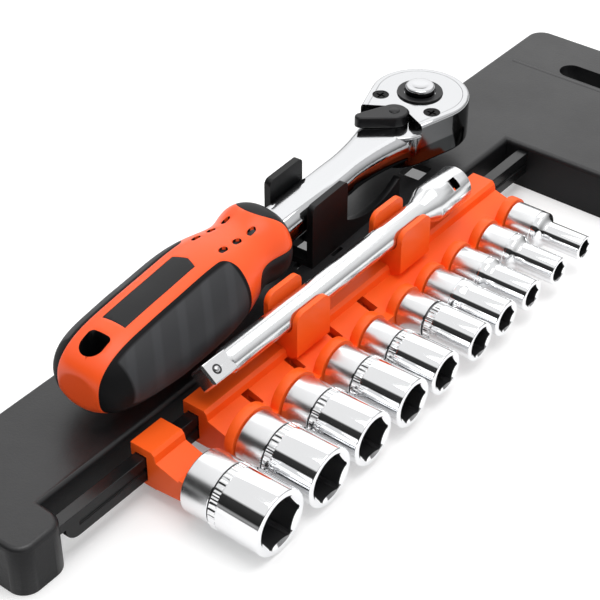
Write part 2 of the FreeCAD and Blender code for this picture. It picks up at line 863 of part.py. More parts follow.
def screw_room(side):
    """Hole and head seat of one cover screw."""
    stem = rod(screw_shank_radius, screw_length + plate_thickness,
               V(side * screw_spread, -screw_setback, plate_seat - screw_length), V(0, 0, 1))
    head = rod(screw_head_radius, screw_head_height + 1,
               V(side * screw_spread, -screw_setback, head_top - screw_head_height), V(0, 0, 1))
    return [stem, head]


def cover_plate():
    """Plate let into the head over the gear."""
    shape = head_outline(-plate_margin, plate_seat, head_top)
    cuts = [
        rod(ring_outer + gear_fit, plate_thickness + 2, V(0, 0, plate_seat - 1), V(0, 0, 1)),
        lever_recess(),
    ]
    return shape.cut(cuts + screw_room(-1) + screw_room(1))


def cover_screws():
    """Two screws with cross recesses that hold the plate."""
    screws = []
    for side in (-1, 1):
        x = side * screw_spread
        top = head_top - screw_sink
        head = rod(screw_head_radius, top - (head_top - screw_head_height),
                   V(x, -screw_setback, head_top - screw_head_height), V(0, 0, 1))
        stem_length = screw_length + plate_thickness - screw_head_height
        stem = rod(screw_shank_radius, stem_length + plate_fit,
                   V(x, -screw_setback, plate_seat - screw_length),
                   V(0, 0, 1))
        bars = []
        for half_u, half_w in ((screw_cross, screw_slot / 2.0), (screw_slot / 2.0, screw_cross)):
            bars.append(box(x - half_u, x + half_u, -screw_setback - half_w, -screw_setback + half_w,
                            top - screw_cross_depth, top + 1))
        screws.append(union([head, stem]).cut(bars))
    return Part.makeCompound(screws)


def gear_face(z):
    """Outline of the fine-toothed drive gear."""
    points = []
    for i in range(gear_teeth):
        for part, radius in ((0.0, gear_radius - gear_tooth), (0.5, gear_radius)):
            angle = 2.0 * math.pi * (i + part) / gear_teeth
            points.append(V(radius * math.cos(angle), radius * math.sin(angle), z))
    return Part.Face(Part.makePolygon(points + [points[0]]))


def drive_gear():
    """Gear, journals and square drive in one piece, bored for the release rod."""
    gear = gear_face(gear_bottom).extrude(V(0, 0, gear_height))
    lower = rod(journal_radius, gear_bottom - head_bottom, V(0, 0, head_bottom), V(0, 0, 1))
    upper = rod(ring_outer, head_top - ring_seat - gear_top, V(0, 0, gear_top), V(0, 0, 1))
    half = drive_size / 2.0
    square = box(-half, half, -half, half, head_bottom - drive_length, head_bottom)
    nose = edges_where(square, lambda e, m: abs(m.z - (head_bottom - drive_length)) < 1e-6)
    square = square.makeChamfer(square_chamfer, nose)
    shape = union([gear, lower, upper, square])
    bore = rod(rod_bore, head_thickness + drive_length, V(0, 0, rod_end), V(0, 0, 1))
    well = rod(button_radius + gear_fit, head_thickness, V(0, 0, well_floor), V(0, 0, 1))
    seat = rod(ball_diameter / 2.0 + ball_fit, half + 1, V(0, 0, ball_z), V(0, -1, 0))
    return shape.cut([bore, well, seat])


def dust_ring():
    """Black ring let into the top of the gear around the button."""
    height = ring_seat + ring_proud
    return sleeve(ring_outer, ring_inner, V(0, 0, head_top - ring_seat), height)


def release_button():
    """Push button with the rod that frees the drive ball."""
    top = head_top + ring_proud + button_height
    cap_low = well_floor + spring_length + button_travel + button_gap
    cap = rod(button_radius, top - cap_low, V(0, 0, cap_low), V(0, 0, 1))
    rim = edges_where(cap, lambda e, m: abs(m.z - top) < 1e-6)
    cap = cap.makeFillet(button_round, rim)
    dish = Part.makeSphere(dish_radius, V(0, 0, top + dish_radius - dish_depth))
    rod_low = rod_end + button_travel + button_gap
    stem = rod(rod_radius, cap_low - rod_low, V(0, 0, rod_low), V(0, 0, 1))
    relief = rod(ball_diameter / 2.0 + relief_fit, 2 * rod_radius, V(0, 0, ball_z), V(0, -1, 0))
    lifted = relief.copy()
    lifted.translate(V(0, 0, button_travel))
    return union([cap, stem]).cut([dish, relief, lifted])


def button_spring():
    """Return spring of the button."""
    outer = button_radius - button_gap
    return sleeve(outer, outer - spring_wire, V(0, 0, well_floor), spring_length)


def drive_ball():
    """Detent ball of the square drive."""
    reach = drive_size / 2.0 + ball_reach - ball_diameter / 2.0
    return Part.makeSphere(ball_diameter / 2.0, V(0, -reach, ball_z))


def retaining_ring():
    """Open ring that keeps the gear in the head."""
    z = gear_bottom - gear_fit
    ring = sleeve(journal_radius + gear_fit + clip_ring_width, journal_radius + gear_fit,
                  V(0, 0, z - clip_ring_height), clip_ring_height)
    gap = box(-clip_ring_width, clip_ring_width, 0, head_radius, z - 2 * clip_ring_height, z)
    return ring.cut(gap)


def pawl():
    """Double-ended pawl that rocks about the lever's shaft."""
    hub = rod(lever_shaft_radius + clip_ring_width, pawl_height, V(0, -lever_setback, pawl_low), V(0, 0, 1))
    bore = rod(lever_shaft_radius + gear_fit, gear_height, V(0, -lever_setback, gear_bottom), V(0, 0, 1))
    inside = rod(gear_radius + pawl_gap, gear_height, V(0, 0, gear_bottom), V(0, 0, 1))
    shape = union([pawl_ring(0, pawl_low, pawl_high), hub]).cut([bore, inside])
    shape.rotate(V(0, -lever_setback, 0), V(0, 0, 1), pawl_rest)
    return shape


def reversing_lever():
    """Lever on its shaft, at one end of its swing."""
    low = plate_seat + lever_gap
    high = low + lever_thickness
    root = rod(lever_root, high - low, V(0, 0, low), V(0, 0, 1))
    tip = rod(lever_tip, high - low, V(0, -lever_length + lever_tip, low), V(0, 0, 1))
    reach = lever_length - lever_tip
    slope = math.asin((lever_root - lever_tip) / reach)
    c = math.cos(slope)
    s = math.sin(slope)
    web = prism([
        (lever_root * c, -lever_root * s), (-lever_root * c, -lever_root * s),
        (-lever_tip * c, -reach - lever_tip * s), (lever_tip * c, -reach - lever_tip * s),
    ], low, high)
    paddle = union([root, tip, web])
    rim = edges_where(paddle, lambda e, m: abs(m.z - high) < 1e-6)
    paddle = paddle.makeFillet(lever_round, rim)
    shaft = rod(lever_shaft_radius, low - gear_bottom, V(0, 0, gear_bottom), V(0, 0, 1))
    shape = union([paddle, shaft])
    shape.rotate(V(0, 0, 0), V(0, 0, 1), lever_rest)
    shape.translate(V(0, -lever_setback, 0))
    return shape


# ---- handle ----
def handle_solid(inset):
    """Handle surface, moved in by an inset."""
    wires = []
    for w, a, b, rise in handle_sections:
        major = a - inset
        minor = b - inset
        ellipse = Part.Ellipse(V(0, 0, 0), major, minor)
        wire = Part.Wire([ellipse.toShape()])
        wire.rotate(V(0, 0, 0), V(1, 0, 0), 90)
        wire.translate(V(0, -w, handle_height + rise))
        wires.append(wire)
    return Part.makeLoft(wires, True, False)


def grip_region(side):
    """Side of the handle that the grip pad wraps, with a rounded front corner."""
    near = side * grip_inner
    far = side * span
    block = box(min(near, far), max(near, far), -span, -grip_end, 0, span)
    corner = edges_where(block, lambda e, m: upright(e) and abs(m.x - near) < 1e-6 and abs(m.y + grip_end) < 1e-6)
    return block.makeFillet(grip_corner, corner)


def nameplate_region():
    """Plan of the inlaid plate."""
    return prism([
        (-plate_half_width, -plate_start), (plate_half_width, -plate_start),
        (plate_half_width, -plate_end - plate_nose), (plate_nose_side, -plate_end),
        (-plate_half_width, -plate_end - plate_nose),
    ], handle_height, span)


def collar_region():
    """Front of the handle that the collar covers: ring, round crown and a long lower lobe."""
    ring = box(-span, span, -handle_front - collar_length, 0, 0, span)
    crown = rod(collar_crown, span, V(0, -handle_front, handle_height), V(0, 0, 1))
    back = -handle_front - collar_reach
    top = handle_height + collar_rise
    lower = box(-span, span, back, 0, 0, top)
    corner = edges_where(lower, lambda e, m: abs(m.y - back) < 1e-6 and abs(m.z - top) < 1e-6)
    return union([ring, crown, lower.makeFillet(collar_corner, corner)])


def dents():
    """Small oval dents in two rows on the front of the handle."""
    half = dent_width / 2.0
    reach = dent_length / 2.0
    blocks = []
    for w, u in dents_at:
        for x in (u, -u):
            block = box(x - half, x + half, -w - reach, -w + reach, handle_height, span)
            blocks.append(block.makeFillet(dent_round, edges_where(block, lambda e, m: upright(e))))
    return union(blocks).cut(handle_solid(dent_depth))


def hang_hole():
    """Hole through the end of the handle."""
    radius = hole_half_width
    block = box(-radius, radius, -hole_start + radius, -hole_end, 0, span)
    corners = edges_where(block, lambda e, m: upright(e) and abs(m.y + hole_end) < 1e-6)
    block = block.makeFillet(hole_corner, corners)
    back = rod(radius, span, V(0, -hole_start + radius, 0), V(0, 0, 1))
    return union([block, back])


def handle_parts():
    """Core, two grip pads, inlaid plate and collar that share one surface."""
    outer = handle_solid(0)
    inner = handle_solid(grip_skin)
    behind = box(-span, span, -span, -handle_front - collar_skin, 0, span)
    collar_inner = handle_solid(collar_skin).common(behind)
    room = tang()
    entry = box(-shank_width / 2.0, shank_width / 2.0, -shank_sections[-1][0], 0, shank_bottom, shank_top)
    hole = hang_hole()
    pads = []
    for side in (1, -1):
        pads.append(outer.common(grip_region(side)).cut([inner, hole]))
    plate = outer.common(nameplate_region()).cut(handle_solid(plate_depth))
    collar = outer.common(collar_region()).cut([collar_inner, entry, room])
    core = outer.cut(pads + [plate, collar, room, hole])
    core = core.cut([entry, dents()])
    return core, pads, plate, collar


# ---- bracket ----
def jaw(u0, span, top):
    """Upright jaw with its two upper corners rounded."""
    near, far = span
    wall = box(u0, u0 + jaw_thickness, -far, -near, frame_height, top)
    middle = u0 + jaw_thickness / 2.0
    corners = edges_where(wall, lambda e, m: abs(m.z - top) < 1e-6 and abs(m.x - middle) < 1e-6)
    return wall.makeFillet(jaw_round, corners)


def ratchet_bracket():
    """Two jaws, a saddle and a low cradle wall on a plate that stands on the beam."""
    half = shank_width / 2.0 + jaw_gap
    outside = half + jaw_thickness
    front = -near_jaw[0]
    plate = box(-outside, outside, -near_jaw[1], front, frame_height, frame_height + bracket_plate)
    u0, u1, near, far = window_inner
    window = box(u0, u1, -far, -near, frame_height - 1, frame_height + bracket_plate + 1)
    saddle = box(-half, half, front - saddle_wall, front, frame_height, shank_bottom - saddle_gap)
    wall = box(outside - cradle_wall, outside, front - saddle_wall, -cradle_end, frame_height,
               frame_height + cradle_rise)
    sweep = rod(cradle_sweep, 2 * cradle_wall,
                V(outside - 1.5 * cradle_wall, front + cradle_sweep / 2.0,
                  frame_height + cradle_rise / 3.0 + cradle_sweep), V(1, 0, 0))
    return union([
        plate.cut(window), jaw(half, near_jaw, shank_top + near_jaw_rise),
        jaw(-outside, far_jaw, shank_top + far_jaw_rise),
        saddle, wall.cut(sweep),
    ])


def socket_name(size):
    """Node name of a socket from its width across flats."""
    return "socket_%s_mm" % (("%g" % size).replace(".", "_"))


def main():
    """Write every part."""
    os.makedirs("parts", exist_ok=True)
    save("rack_frame", rack_frame())
    save("socket_rail", socket_rail())
    save("ratchet_bracket", in_ratchet(ratchet_bracket()))
    save("end_clip", end_clip())
    save("clip_strip", clip_strip())
    for index, size in enumerate(socket_sizes):
        save(socket_name(size), socket_shape(index))
    save("extension_bar", extension_bar())
    save("extension_ball", extension_ball())
    save("extension_ball_spring", extension_ball_spring())
    save("ratchet_body", in_ratchet(ratchet_body()))
    save("cover_plate", in_ratchet(cover_plate()))
    save("cover_screws", in_ratchet(cover_screws()))
    save("drive_gear", in_ratchet(drive_gear()))
    save("dust_ring", in_ratchet(dust_ring()))
    save("release_button", in_ratchet(release_button()))
    save("button_spring", in_ratchet(button_spring()))
    save("drive_ball", in_ratchet(drive_ball()))
    save("retaining_ring", in_ratchet(retaining_ring()))
    save("pawl", in_ratchet(pawl()))
    save("reversing_lever", in_ratchet(reversing_lever()))
    core, pads, plate, collar = handle_parts()
    save("handle_core", in_ratchet(core))
    save("grip_pad_right", in_ratchet(pads[0]))
    save("grip_pad_left", in_ratchet(pads[1]))
    save("handle_plate", in_ratchet(plate))
    save("handle_collar", in_ratchet(collar))


main()
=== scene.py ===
import json
import math

import bmesh
import bpy
from bpy.props import FloatProperty, FloatVectorProperty, IntProperty, PointerProperty
from bpy.types import Operator, Panel, PropertyGroup
from mathutils import Matrix, Vector


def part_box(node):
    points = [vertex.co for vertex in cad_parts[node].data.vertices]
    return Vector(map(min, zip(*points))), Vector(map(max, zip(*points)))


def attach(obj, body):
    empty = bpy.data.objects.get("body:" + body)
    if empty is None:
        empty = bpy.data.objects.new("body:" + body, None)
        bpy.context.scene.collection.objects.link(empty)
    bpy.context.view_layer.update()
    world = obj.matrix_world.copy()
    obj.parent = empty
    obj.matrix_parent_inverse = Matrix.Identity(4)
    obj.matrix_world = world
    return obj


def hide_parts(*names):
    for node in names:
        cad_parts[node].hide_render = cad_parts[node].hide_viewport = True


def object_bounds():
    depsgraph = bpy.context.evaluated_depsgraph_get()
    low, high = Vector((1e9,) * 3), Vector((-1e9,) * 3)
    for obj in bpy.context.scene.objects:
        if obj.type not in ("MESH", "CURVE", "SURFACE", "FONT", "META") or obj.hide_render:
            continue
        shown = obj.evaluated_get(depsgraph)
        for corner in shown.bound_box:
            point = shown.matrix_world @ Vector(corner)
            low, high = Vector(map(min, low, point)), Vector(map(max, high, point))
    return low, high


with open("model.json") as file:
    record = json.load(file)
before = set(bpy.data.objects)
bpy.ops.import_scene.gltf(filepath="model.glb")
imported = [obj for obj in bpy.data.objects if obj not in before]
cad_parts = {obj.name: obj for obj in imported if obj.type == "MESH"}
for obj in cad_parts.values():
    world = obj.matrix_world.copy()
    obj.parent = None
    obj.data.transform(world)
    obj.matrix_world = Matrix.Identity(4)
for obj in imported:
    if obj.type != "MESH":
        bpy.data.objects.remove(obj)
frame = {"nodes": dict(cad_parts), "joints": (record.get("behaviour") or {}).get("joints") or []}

bl_info = {
    "name": "Socket Rack Finisher",
    "version": (1, 0, 0),
    "blender": (4, 5, 0),
    "location": "3D View > Sidebar > Socket Rack",
    "description": "Dresses a hanging rack with its ratchet, extension bar and ten sockets",
    "category": "Object",
}

CAD_LOW, CAD_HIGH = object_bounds()
MM = 0.001
WHITE = (1.0, 1.0, 1.0, 1.0)
SOCKET_NODES = [n for n in frame["nodes"] if n.startswith("socket_") and n.endswith("_mm")]

# bead over the header's crease, between two corners; its colour, the rack's made lighter by a
# gain, is a painted highlight along the crease
FOLD_LOW = Vector((-35.2, -6.8, 15.45)) * MM
FOLD_HIGH = Vector((35.2, -5.0, 15.76)) * MM
FOLD_HIGHLIGHT_GAIN = 1.5

# extension bar: its axis (across and height), its turn about it, and half its square
BAR_AXIS = (0.0, 25.4 * MM)
BAR_TURN = math.radians(38.0)
HALF_SQUARE = 3.175 * MM
BALL_LIP_RADIUS = 0.95 * MM
# bore and window in the extension's head, along the rack and out from the bar's axis, where their
# walls are painted in shade
BORE_LOW = -108.5 * MM
BORE_HIGH = -96.5 * MM
BORE_DEPTH = 5.45 * MM

# reversing lever's pivot
PIVOT_RADIUS = 1.7 * MM
PIVOT_RISE = 0.55 * MM
PIVOT_SINK = 0.05 * MM

# ratchet's handle: turn on the rack and hanging hole
HANDLE_TURN = math.radians(3.0)
HOLE_AXIS = (-0.01941, -0.23009, 0.0)
HOLE_HALF_WIDTH = 3.5 * MM
HOLE_HALF_LENGTH = 3.6 * MM
# soft pads and dents: from the hanging hole's axis towards the head, and to either side
PAD_INNER = 6.8 * MM
PAD_FRONT = 47.0 * MM
PAD_REAR = -0.5 * MM
# painted shade on the pads' lower part: middle of its bowed upper edge along the pad, and that
# edge's least height
PAD_MIDDLE = 23.6 * MM
PAD_SHADE_LINE = 22.3 * MM
DENTS = [(60.4 * MM, 4.4 * MM), (53.9 * MM, 4.4 * MM), (47.6 * MM, 4.6 * MM)]
DENT_HALF_WIDTH = 0.85 * MM
DENT_HALF_LENGTH = 1.8 * MM

# sockets, in millimetres: mouth's diameter for each size that is narrower than its drive end
NARROW_MOUTHS = {7.0: 11.1, 6.0: 9.7, 5.5: 8.6, 5.0: 7.7}
# grooves: distance from the drive end, and depth under the drive end's surface
NARROW_GROOVE = [(8.6, 0.0), (8.75, 0.18), (9.05, 0.18), (9.2, 0.0), (10.2, 0.0)]
WIDE_GROOVE = [(8.45, 0.0), (8.6, 0.12), (8.62, 0.45), (9.28, 0.45)]
# far edge of the wide groove: distance from the drive end, and depth under the mouth's surface
GROOVE_END = (9.3, 0.12)
# shallow groove past the knurl: distance from the knurl, and depth under the mouth's surface
AFTER_KNURL = [(0.05, 0.2), (0.25, 0.2), (0.4, 0.0)]
KNURL_DROP = 0.02
# neck of the small sockets, from the drive end
NECK_START, NECK_LENGTH, NECK_END = 10.4, 2.2, 12.9
# how much less the large sockets' drive end reaches than their mouth, and its least radius
DRIVE_STEP, NARROWEST_DRIVE = 0.4, 5.9
SOFT_EDGE, THINNEST_WALL = 0.45, 0.45
# inside: the hexagon and the bore's floor from the mouth, the bore and recess from the drive end
HEXAGON_DEPTH, HEXAGON_ROOM, HEXAGON_LEAD = 12.0, 0.15, 0.05
BORE_START, BORE_FLOOR, BORE_WIDEST, BORE_STEP = 8.5, 12.6, 6.1, 0.3
RECESS_WIDTH, RECESS_DEPTH, RECESS_LEAD = 6.45, 8.45, (0.3, 0.25)
# faces by material: length and least radius of the satin drive end, start of the groove, and how
# far the normal of an inside wall may lean along the socket
SATIN_END, SATIN_INNER, GROOVE_START = 8.4, 5.2, 8.55
WALL_LEAN = 0.1
# the inside walls and the wide groove take a rough unpolished finish, whose dark colour is painted
# shade
SATIN_SLOT, SHADED_INSIDE_SLOT = 1, 2

# rounding of small steel pieces
SPRING_EDGE = 0.03 * MM
WORKS_EDGE = 0.05 * MM
BLACK_EDGE = 0.1 * MM

FLOOR_REACH = 4.0
FLOOR_GAP = 0.1 * MM
CAMERA_PLACE = (0.21447, -0.44423, 0.29474)
CAMERA_TURN = (math.radians(52.35), 0.0, math.radians(38.15))
SENSOR_WIDTH = 36.0


# ---- settings ----
def colour(name, description, default):
    """Colour setting with linear red, green and blue."""
    return FloatVectorProperty(name=name, description=description, default=default, size=3,
                               min=0.0, max=1.0, subtype="COLOR")


def length(name, description, default):
    """Length setting in metres."""
    return FloatProperty(name=name, description=description, default=default, min=0.0,
                         unit="LENGTH")


def power(name, description, default):
    """Lamp setting in watts."""
    return FloatProperty(name=name, description=description, default=default, min=0.0,
                         unit="POWER")


class RackColours(PropertyGroup):
    """Colours of the mouldings, the plating and the floor."""
    rack: colour("Rack", "Moulded black of the frame", (0.0105, 0.0105, 0.0115))
    bracket: colour("Bracket", "Deep black of the ratchet's bracket", (0.006, 0.006, 0.0065))
    rail: colour("Rail", "Smooth black of the socket rail", (0.006, 0.006, 0.0065))
    clips: colour("Clips", "Orange of the sliding clips", (0.97, 0.115, 0.012))
    handle: colour("Handle", "Orange of the handle's core", (0.93, 0.095, 0.014))
    rubber: colour("Grip", "Soft pads let into the handle", (0.024, 0.0245, 0.027))
    # this black also colours the painted shade in the hanging hole, the dents and under the pads
    border: colour("Grip border", "Dark rim of the pads, and the screws", (0.004, 0.004, 0.0045))
    plate: colour("Plate", "Bare inlay and front collar of the handle", (0.008, 0.008, 0.009))
    chrome: colour("Chrome", "Plating of the sockets", (0.84, 0.845, 0.855))
    head: colour("Ratchet plating", "Plating of the ratchet, duller", (0.53, 0.535, 0.545))
    bar: colour("Bar plating", "Satin plating of the extension bar", (0.76, 0.765, 0.775))
    # dark enough to be painted shade in the bores, the hexagons and the wide groove, over rough
    # unpolished walls
    inside: colour("Socket inside", "Walls of bores and hexagons", (0.16, 0.16, 0.165))
    steel: colour("Steel", "Bare steel of balls, springs and gear", (0.56, 0.56, 0.57))
    blackened: colour("Blackened steel", "Lever, ring and ball's lip", (0.006, 0.006, 0.007))
    floor: colour("Floor", "Pale floor under the rack", (0.80, 0.80, 0.80))


class RackSizes(PropertyGroup):
    """Small shapes that the finished pieces carry."""
    edge: length("Moulded edge", "Rounding of the mouldings' edges", 0.25 * MM)
    metal_edge: length("Metal edge", "Rounding of the plated parts' edges", 0.15 * MM)
    facets: IntProperty(name="Facets", description="Steps round each socket", default=144, min=48)
    knurl_start: length("Knurl start", "From the drive end to the knurled band", 9.4 * MM)
    knurl_width: length("Knurl width", "Width of the knurled band", 2.1 * MM)
    knurl_depth: length("Knurl depth", "Depth of the knurled ticks", 0.22 * MM)
    mouth_relief: FloatProperty(name="Corner relief", description="Room at the hexagons' corners",
                                default=0.5, min=0.0, max=1.0, subtype="FACTOR")


class StageSettings(PropertyGroup):
    """Lamps, sky and camera."""
    sky: FloatProperty(name="Sky", description="Strength of the even light", default=1.02, min=0.0)
    softbox: power("Softbox", "Power of the far softbox", 2.0)
    overhead: power("Overhead", "Power of the lamp above", 3.6)
    lens: FloatProperty(name="Lens", description="Focal length in millimetres", default=97.185,
                        min=1.0, unit="CAMERA")


# ---- shader building ----
class Tree:
    """Adds nodes to a node tree and joins their sockets."""

    def __init__(self, tree):
        self.tree = tree

    def link(self, value, socket):
        """Join an output to an input."""
        self.tree.links.new(value, socket)

    def put(self, value, socket):
        """Give an input a constant or another node's output."""
        if isinstance(value, bpy.types.NodeSocket):
            self.link(value, socket)
        else:
            socket.default_value = value

    def node(self, kind, inputs=(), **settings):
        """New node of a kind; inputs maps a socket's name or number to a value or an output."""
        made = self.tree.nodes.new(kind)
        for key, value in settings.items():
            setattr(made, key, value)
        for key, value in dict(inputs).items():
            self.put(value, made.inputs[key])
        return made

    def math(self, operation, first, second=0.0, third=0.0, clamp=False):
        """Result of one sum."""
        return self.node("ShaderNodeMath", {0: first, 1: second, 2: third}, operation=operation,
                         use_clamp=clamp).outputs[0]

    def product(self, first, *others):
        """Several values multiplied together."""
        for other in others:
            first = self.math("MULTIPLY", first, other)
        return first

    def square(self, value):
        """Value times itself."""
        return self.math("POWER", value, 2.0)

    def dot(self, first, second):
        """Dot product of two vectors."""
        return self.node("ShaderNodeVectorMath", {0: first, 1: second},
                         operation="DOT_PRODUCT").outputs["Value"]

    def noise(self, vector, scale, detail=3.0, roughness=0.55):
        """Value of a noise texture."""
        return self.node("ShaderNodeTexNoise", {"Vector": vector, "Scale": scale, "Detail": detail,
                                                "Roughness": roughness}).outputs["Fac"]

    def span(self, value, low, high, to_low=0.0, to_high=1.0):
        """Value moved from one range to another, held at its ends."""
        return self.node("ShaderNodeMapRange", {
            "Value": value, "From Min": low, "From Max": high,
            "To Min": to_low, "To Max": to_high}).outputs["Result"]

    def mix(self, factor, first, second):
        """Colour between two."""
        return self.node("ShaderNodeMix", {0: factor, 6: first, 7: second},
                         data_type="RGBA").outputs[2]

    def parts(self, vector):
        """X, Y and Z of a vector."""
        return self.node("ShaderNodeSeparateXYZ", {0: vector}).outputs

    def place(self):
        """Position on the piece, which moves with it."""
        return self.node("ShaderNodeTexCoord").outputs["Object"]

    def upward(self, normal="Normal"):
        """How far the surface looks up, from -1 to 1."""
        return self.parts(self.node("ShaderNodeNewGeometry").outputs[normal])["Z"]


def effect(name, inputs, outputs):
    """Empty node group with named value sockets."""
    group = bpy.data.node_groups.new(name, "ShaderNodeTree")
    for label, default in inputs:
        socket = group.interface.new_socket(name=label, in_out="INPUT",
                                            socket_type="NodeSocketFloat")
        socket.default_value = default
    for label in outputs:
        group.interface.new_socket(name=label, in_out="OUTPUT", socket_type="NodeSocketFloat")
    entry = group.nodes.new("NodeGroupInput").outputs
    leave = group.nodes.new("NodeGroupOutput").inputs
    return group, Tree(group), entry, leave


def moulded_grain():
    """Fine leathery texture of a mould wall, and its slow sheen changes."""
    fine_scale, cell_scale, cell_share, sheen_scale = 5200.0, 2600.0, 0.7, 45.0
    group, tree, entry, leave = effect("Moulded grain", [("Scale", 1.0)], ["Height", "Sheen"])
    place = tree.place()
    fine = tree.noise(place, tree.product(entry["Scale"], fine_scale), detail=2.0, roughness=0.6)
    cells = tree.node("ShaderNodeTexVoronoi", {
        "Vector": place, "Scale": tree.product(entry["Scale"], cell_scale)},
        feature="SMOOTH_F1").outputs["Distance"]
    tree.link(tree.math("MULTIPLY_ADD", cells, cell_share, fine), leave["Height"])
    sheen = tree.noise(place, sheen_scale, detail=4.0, roughness=0.6)
    tree.link(tree.span(sheen, low=0.3, high=0.7), leave["Sheen"])
    return group


def edge_rub():
    """Edges polished pale by use."""
    flat_dot, worn_dot, patch_scale = 0.998, 0.93, 900.0
    group, tree, entry, leave = effect("Edge rub", [("Width", 0.4 * MM), ("Amount", 0.5)],
                                       ["Mask"])
    rounded = tree.node("ShaderNodeBevel", {"Radius": entry["Width"]}, samples=6).outputs["Normal"]
    flat = tree.node("ShaderNodeNewGeometry").outputs["Normal"]
    edge = tree.span(tree.dot(rounded, flat), flat_dot, worn_dot)
    broken = tree.span(tree.noise(tree.place(), patch_scale, roughness=0.7), low=0.35, high=0.65)
    tree.link(tree.product(edge, broken, entry["Amount"]), leave["Mask"])
    return group


def fingerprints():
    """Cloudy smudges left by handling, and hairline scratches among them."""
    cloud_scale, hair_scale = 120.0, 800.0
    hair_turn, hair_stretch = (0.5, 0.9, 0.4), (1.0, 14.0, 3.0)
    group, tree, entry, leave = effect("Smudges", [("Scale", 1.0), ("Amount", 0.5)],
                                       ["Mask", "Height"])
    place = tree.place()
    cloud = tree.noise(place, tree.product(entry["Scale"], cloud_scale), detail=5.0,
                       roughness=0.65)
    long_way = tree.node("ShaderNodeMapping", {"Vector": place, "Rotation": hair_turn,
                                               "Scale": hair_stretch}).outputs["Vector"]
    hair = tree.noise(long_way, tree.product(entry["Scale"], hair_scale), detail=2.0,
                      roughness=0.5)
    smudge = tree.span(cloud, low=0.45, high=0.75)
    tree.link(tree.product(smudge, entry["Amount"]), leave["Mask"])
    tree.link(tree.product(hair, entry["Amount"]), leave["Height"])
    return group


def settled_dust():
    """Pale dust on faces that look up."""
    patch_scale = 260.0
    group, tree, entry, leave = effect("Settled dust", [("Amount", 0.3)], ["Mask"])
    cloud = tree.noise(tree.place(), patch_scale, detail=6.0, roughness=0.7)
    patch = tree.span(cloud, low=0.42, high=0.8)
    lying = tree.span(tree.upward(), low=0.5, high=1.0)
    tree.link(tree.product(lying, patch, entry["Amount"]), leave["Mask"])
    return group


def turned_lines():
    """Fine rings that a lathe leaves round a part that lies along X."""
    lines_per_metre = 9000.0
    group, tree, entry, leave = effect("Turned lines", [("Scale", 1.0)], ["Height"])
    along = tree.product(tree.parts(tree.place())["X"], entry["Scale"], lines_per_metre)
    lines = tree.node("ShaderNodeTexNoise", {"W": along, "Scale": 1.0, "Detail": 2.0},
                      noise_dimensions="1D").outputs["Fac"]
    tree.link(lines, leave["Height"])
    return group


class Finish:
    """Material with one Principled shader, fed by the shared effects."""

    def __init__(self, name):
        self.material = bpy.data.materials.new(name)
        self.material.use_nodes = True
        self.tree = Tree(self.material.node_tree)
        self.shader = self.material.node_tree.nodes["Principled BSDF"]

    def effect(self, group, **values):
        """One shared effect with this material's own values."""
        made = self.tree.node("ShaderNodeGroup", node_tree=group)
        for key, value in values.items():
            made.inputs[key].default_value = value
        return made.outputs

    def set(self, **values):
        """Constants on the shader's own sockets."""
        for key, value in values.items():
            self.shader.inputs[key.replace("_", " ")].default_value = value

    def feed(self, name, socket):
        """Join a changing value to a socket of the shader."""
        self.tree.link(socket, self.shader.inputs[name])

    def paint(self, mask, tint):
        """Another colour over the present one, where a mask is 1."""
        plain = self.shader.inputs["Base Color"].links[0].from_socket
        self.feed("Base Color", self.tree.mix(mask, plain, tint))

    def roughen(self, mask, amount, plain):
        """Roughness that grows by an amount where a mask is 1."""
        rough = self.tree.math("MULTIPLY_ADD", mask, amount, plain, clamp=True)
        self.feed("Roughness", rough)

    def relief(self, height, strength, distance):
        """Bump from a height."""
        bump = self.tree.node("ShaderNodeBump", {"Height": height, "Strength": strength,
                                                 "Distance": distance})
        self.feed("Normal", bump.outputs["Normal"])


def rgba(value, gain=1.0):
    """Setting as a colour with its alpha."""
    return (value[0] * gain, value[1] * gain, value[2] * gain, 1.0)


# ---- finishes ----
def moulded(name, effects, base, roughness, grain, depth, rub, dust=0.0, specular=0.5):
    """Moulded plastic: grain of a depth, paler rubbed edges, a little dust."""
    rub_width, worn_gain, worn_lift = 0.5 * MM, 1.4, 0.012
    dust_colour, dust_rough = (0.45, 0.44, 0.42, 1.0), 0.4
    smoother, rougher, grain_strength = 0.04, 0.05, 0.25
    finish = Finish(name)
    tree = finish.tree
    rubbed = finish.effect(effects["rub"], Width=rub_width, Amount=rub)["Mask"]
    dusty = finish.effect(effects["dust"], Amount=dust)["Mask"]
    texture = finish.effect(effects["grain"], Scale=grain)
    worn = tuple(min(1.0, c * worn_gain + worn_lift) for c in base) + (1.0,)
    finish.feed("Base Color", tree.mix(dusty, tree.mix(rubbed, rgba(base), worn), dust_colour))
    sheen = tree.span(texture["Sheen"], low=0.0, high=1.0, to_low=roughness - smoother,
                      to_high=roughness + rougher)
    finish.roughen(dusty, dust_rough, sheen)
    finish.relief(texture["Height"], grain_strength, depth)
    finish.set(Specular_IOR_Level=specular)
    return finish


def plated(name, effects, base, roughness, smudge=0.35, lines=0.0):
    """Polished plating with smudges and hairlines, and turned lines if asked."""
    rub_width, rub_amount, rub_gain = 0.3 * MM, 0.25, 0.8
    smudge_rough, relief_strength, relief_depth = 0.10, 0.06, 0.02 * MM
    finish = Finish(name)
    tree = finish.tree
    marks = finish.effect(effects["smudge"], Scale=1.0, Amount=smudge)
    rubbed = finish.effect(effects["rub"], Width=rub_width, Amount=rub_amount)["Mask"]
    finish.feed("Base Color", tree.mix(rubbed, rgba(base), rgba(base, rub_gain)))
    finish.roughen(marks["Mask"], smudge_rough, roughness)
    height = marks["Height"]
    if lines > 0.0:
        turned = finish.effect(effects["turned"], Scale=1.0)["Height"]
        height = tree.math("MULTIPLY_ADD", turned, lines, height)
    finish.relief(height, relief_strength, relief_depth)
    finish.set(Metallic=1.0)
    return finish


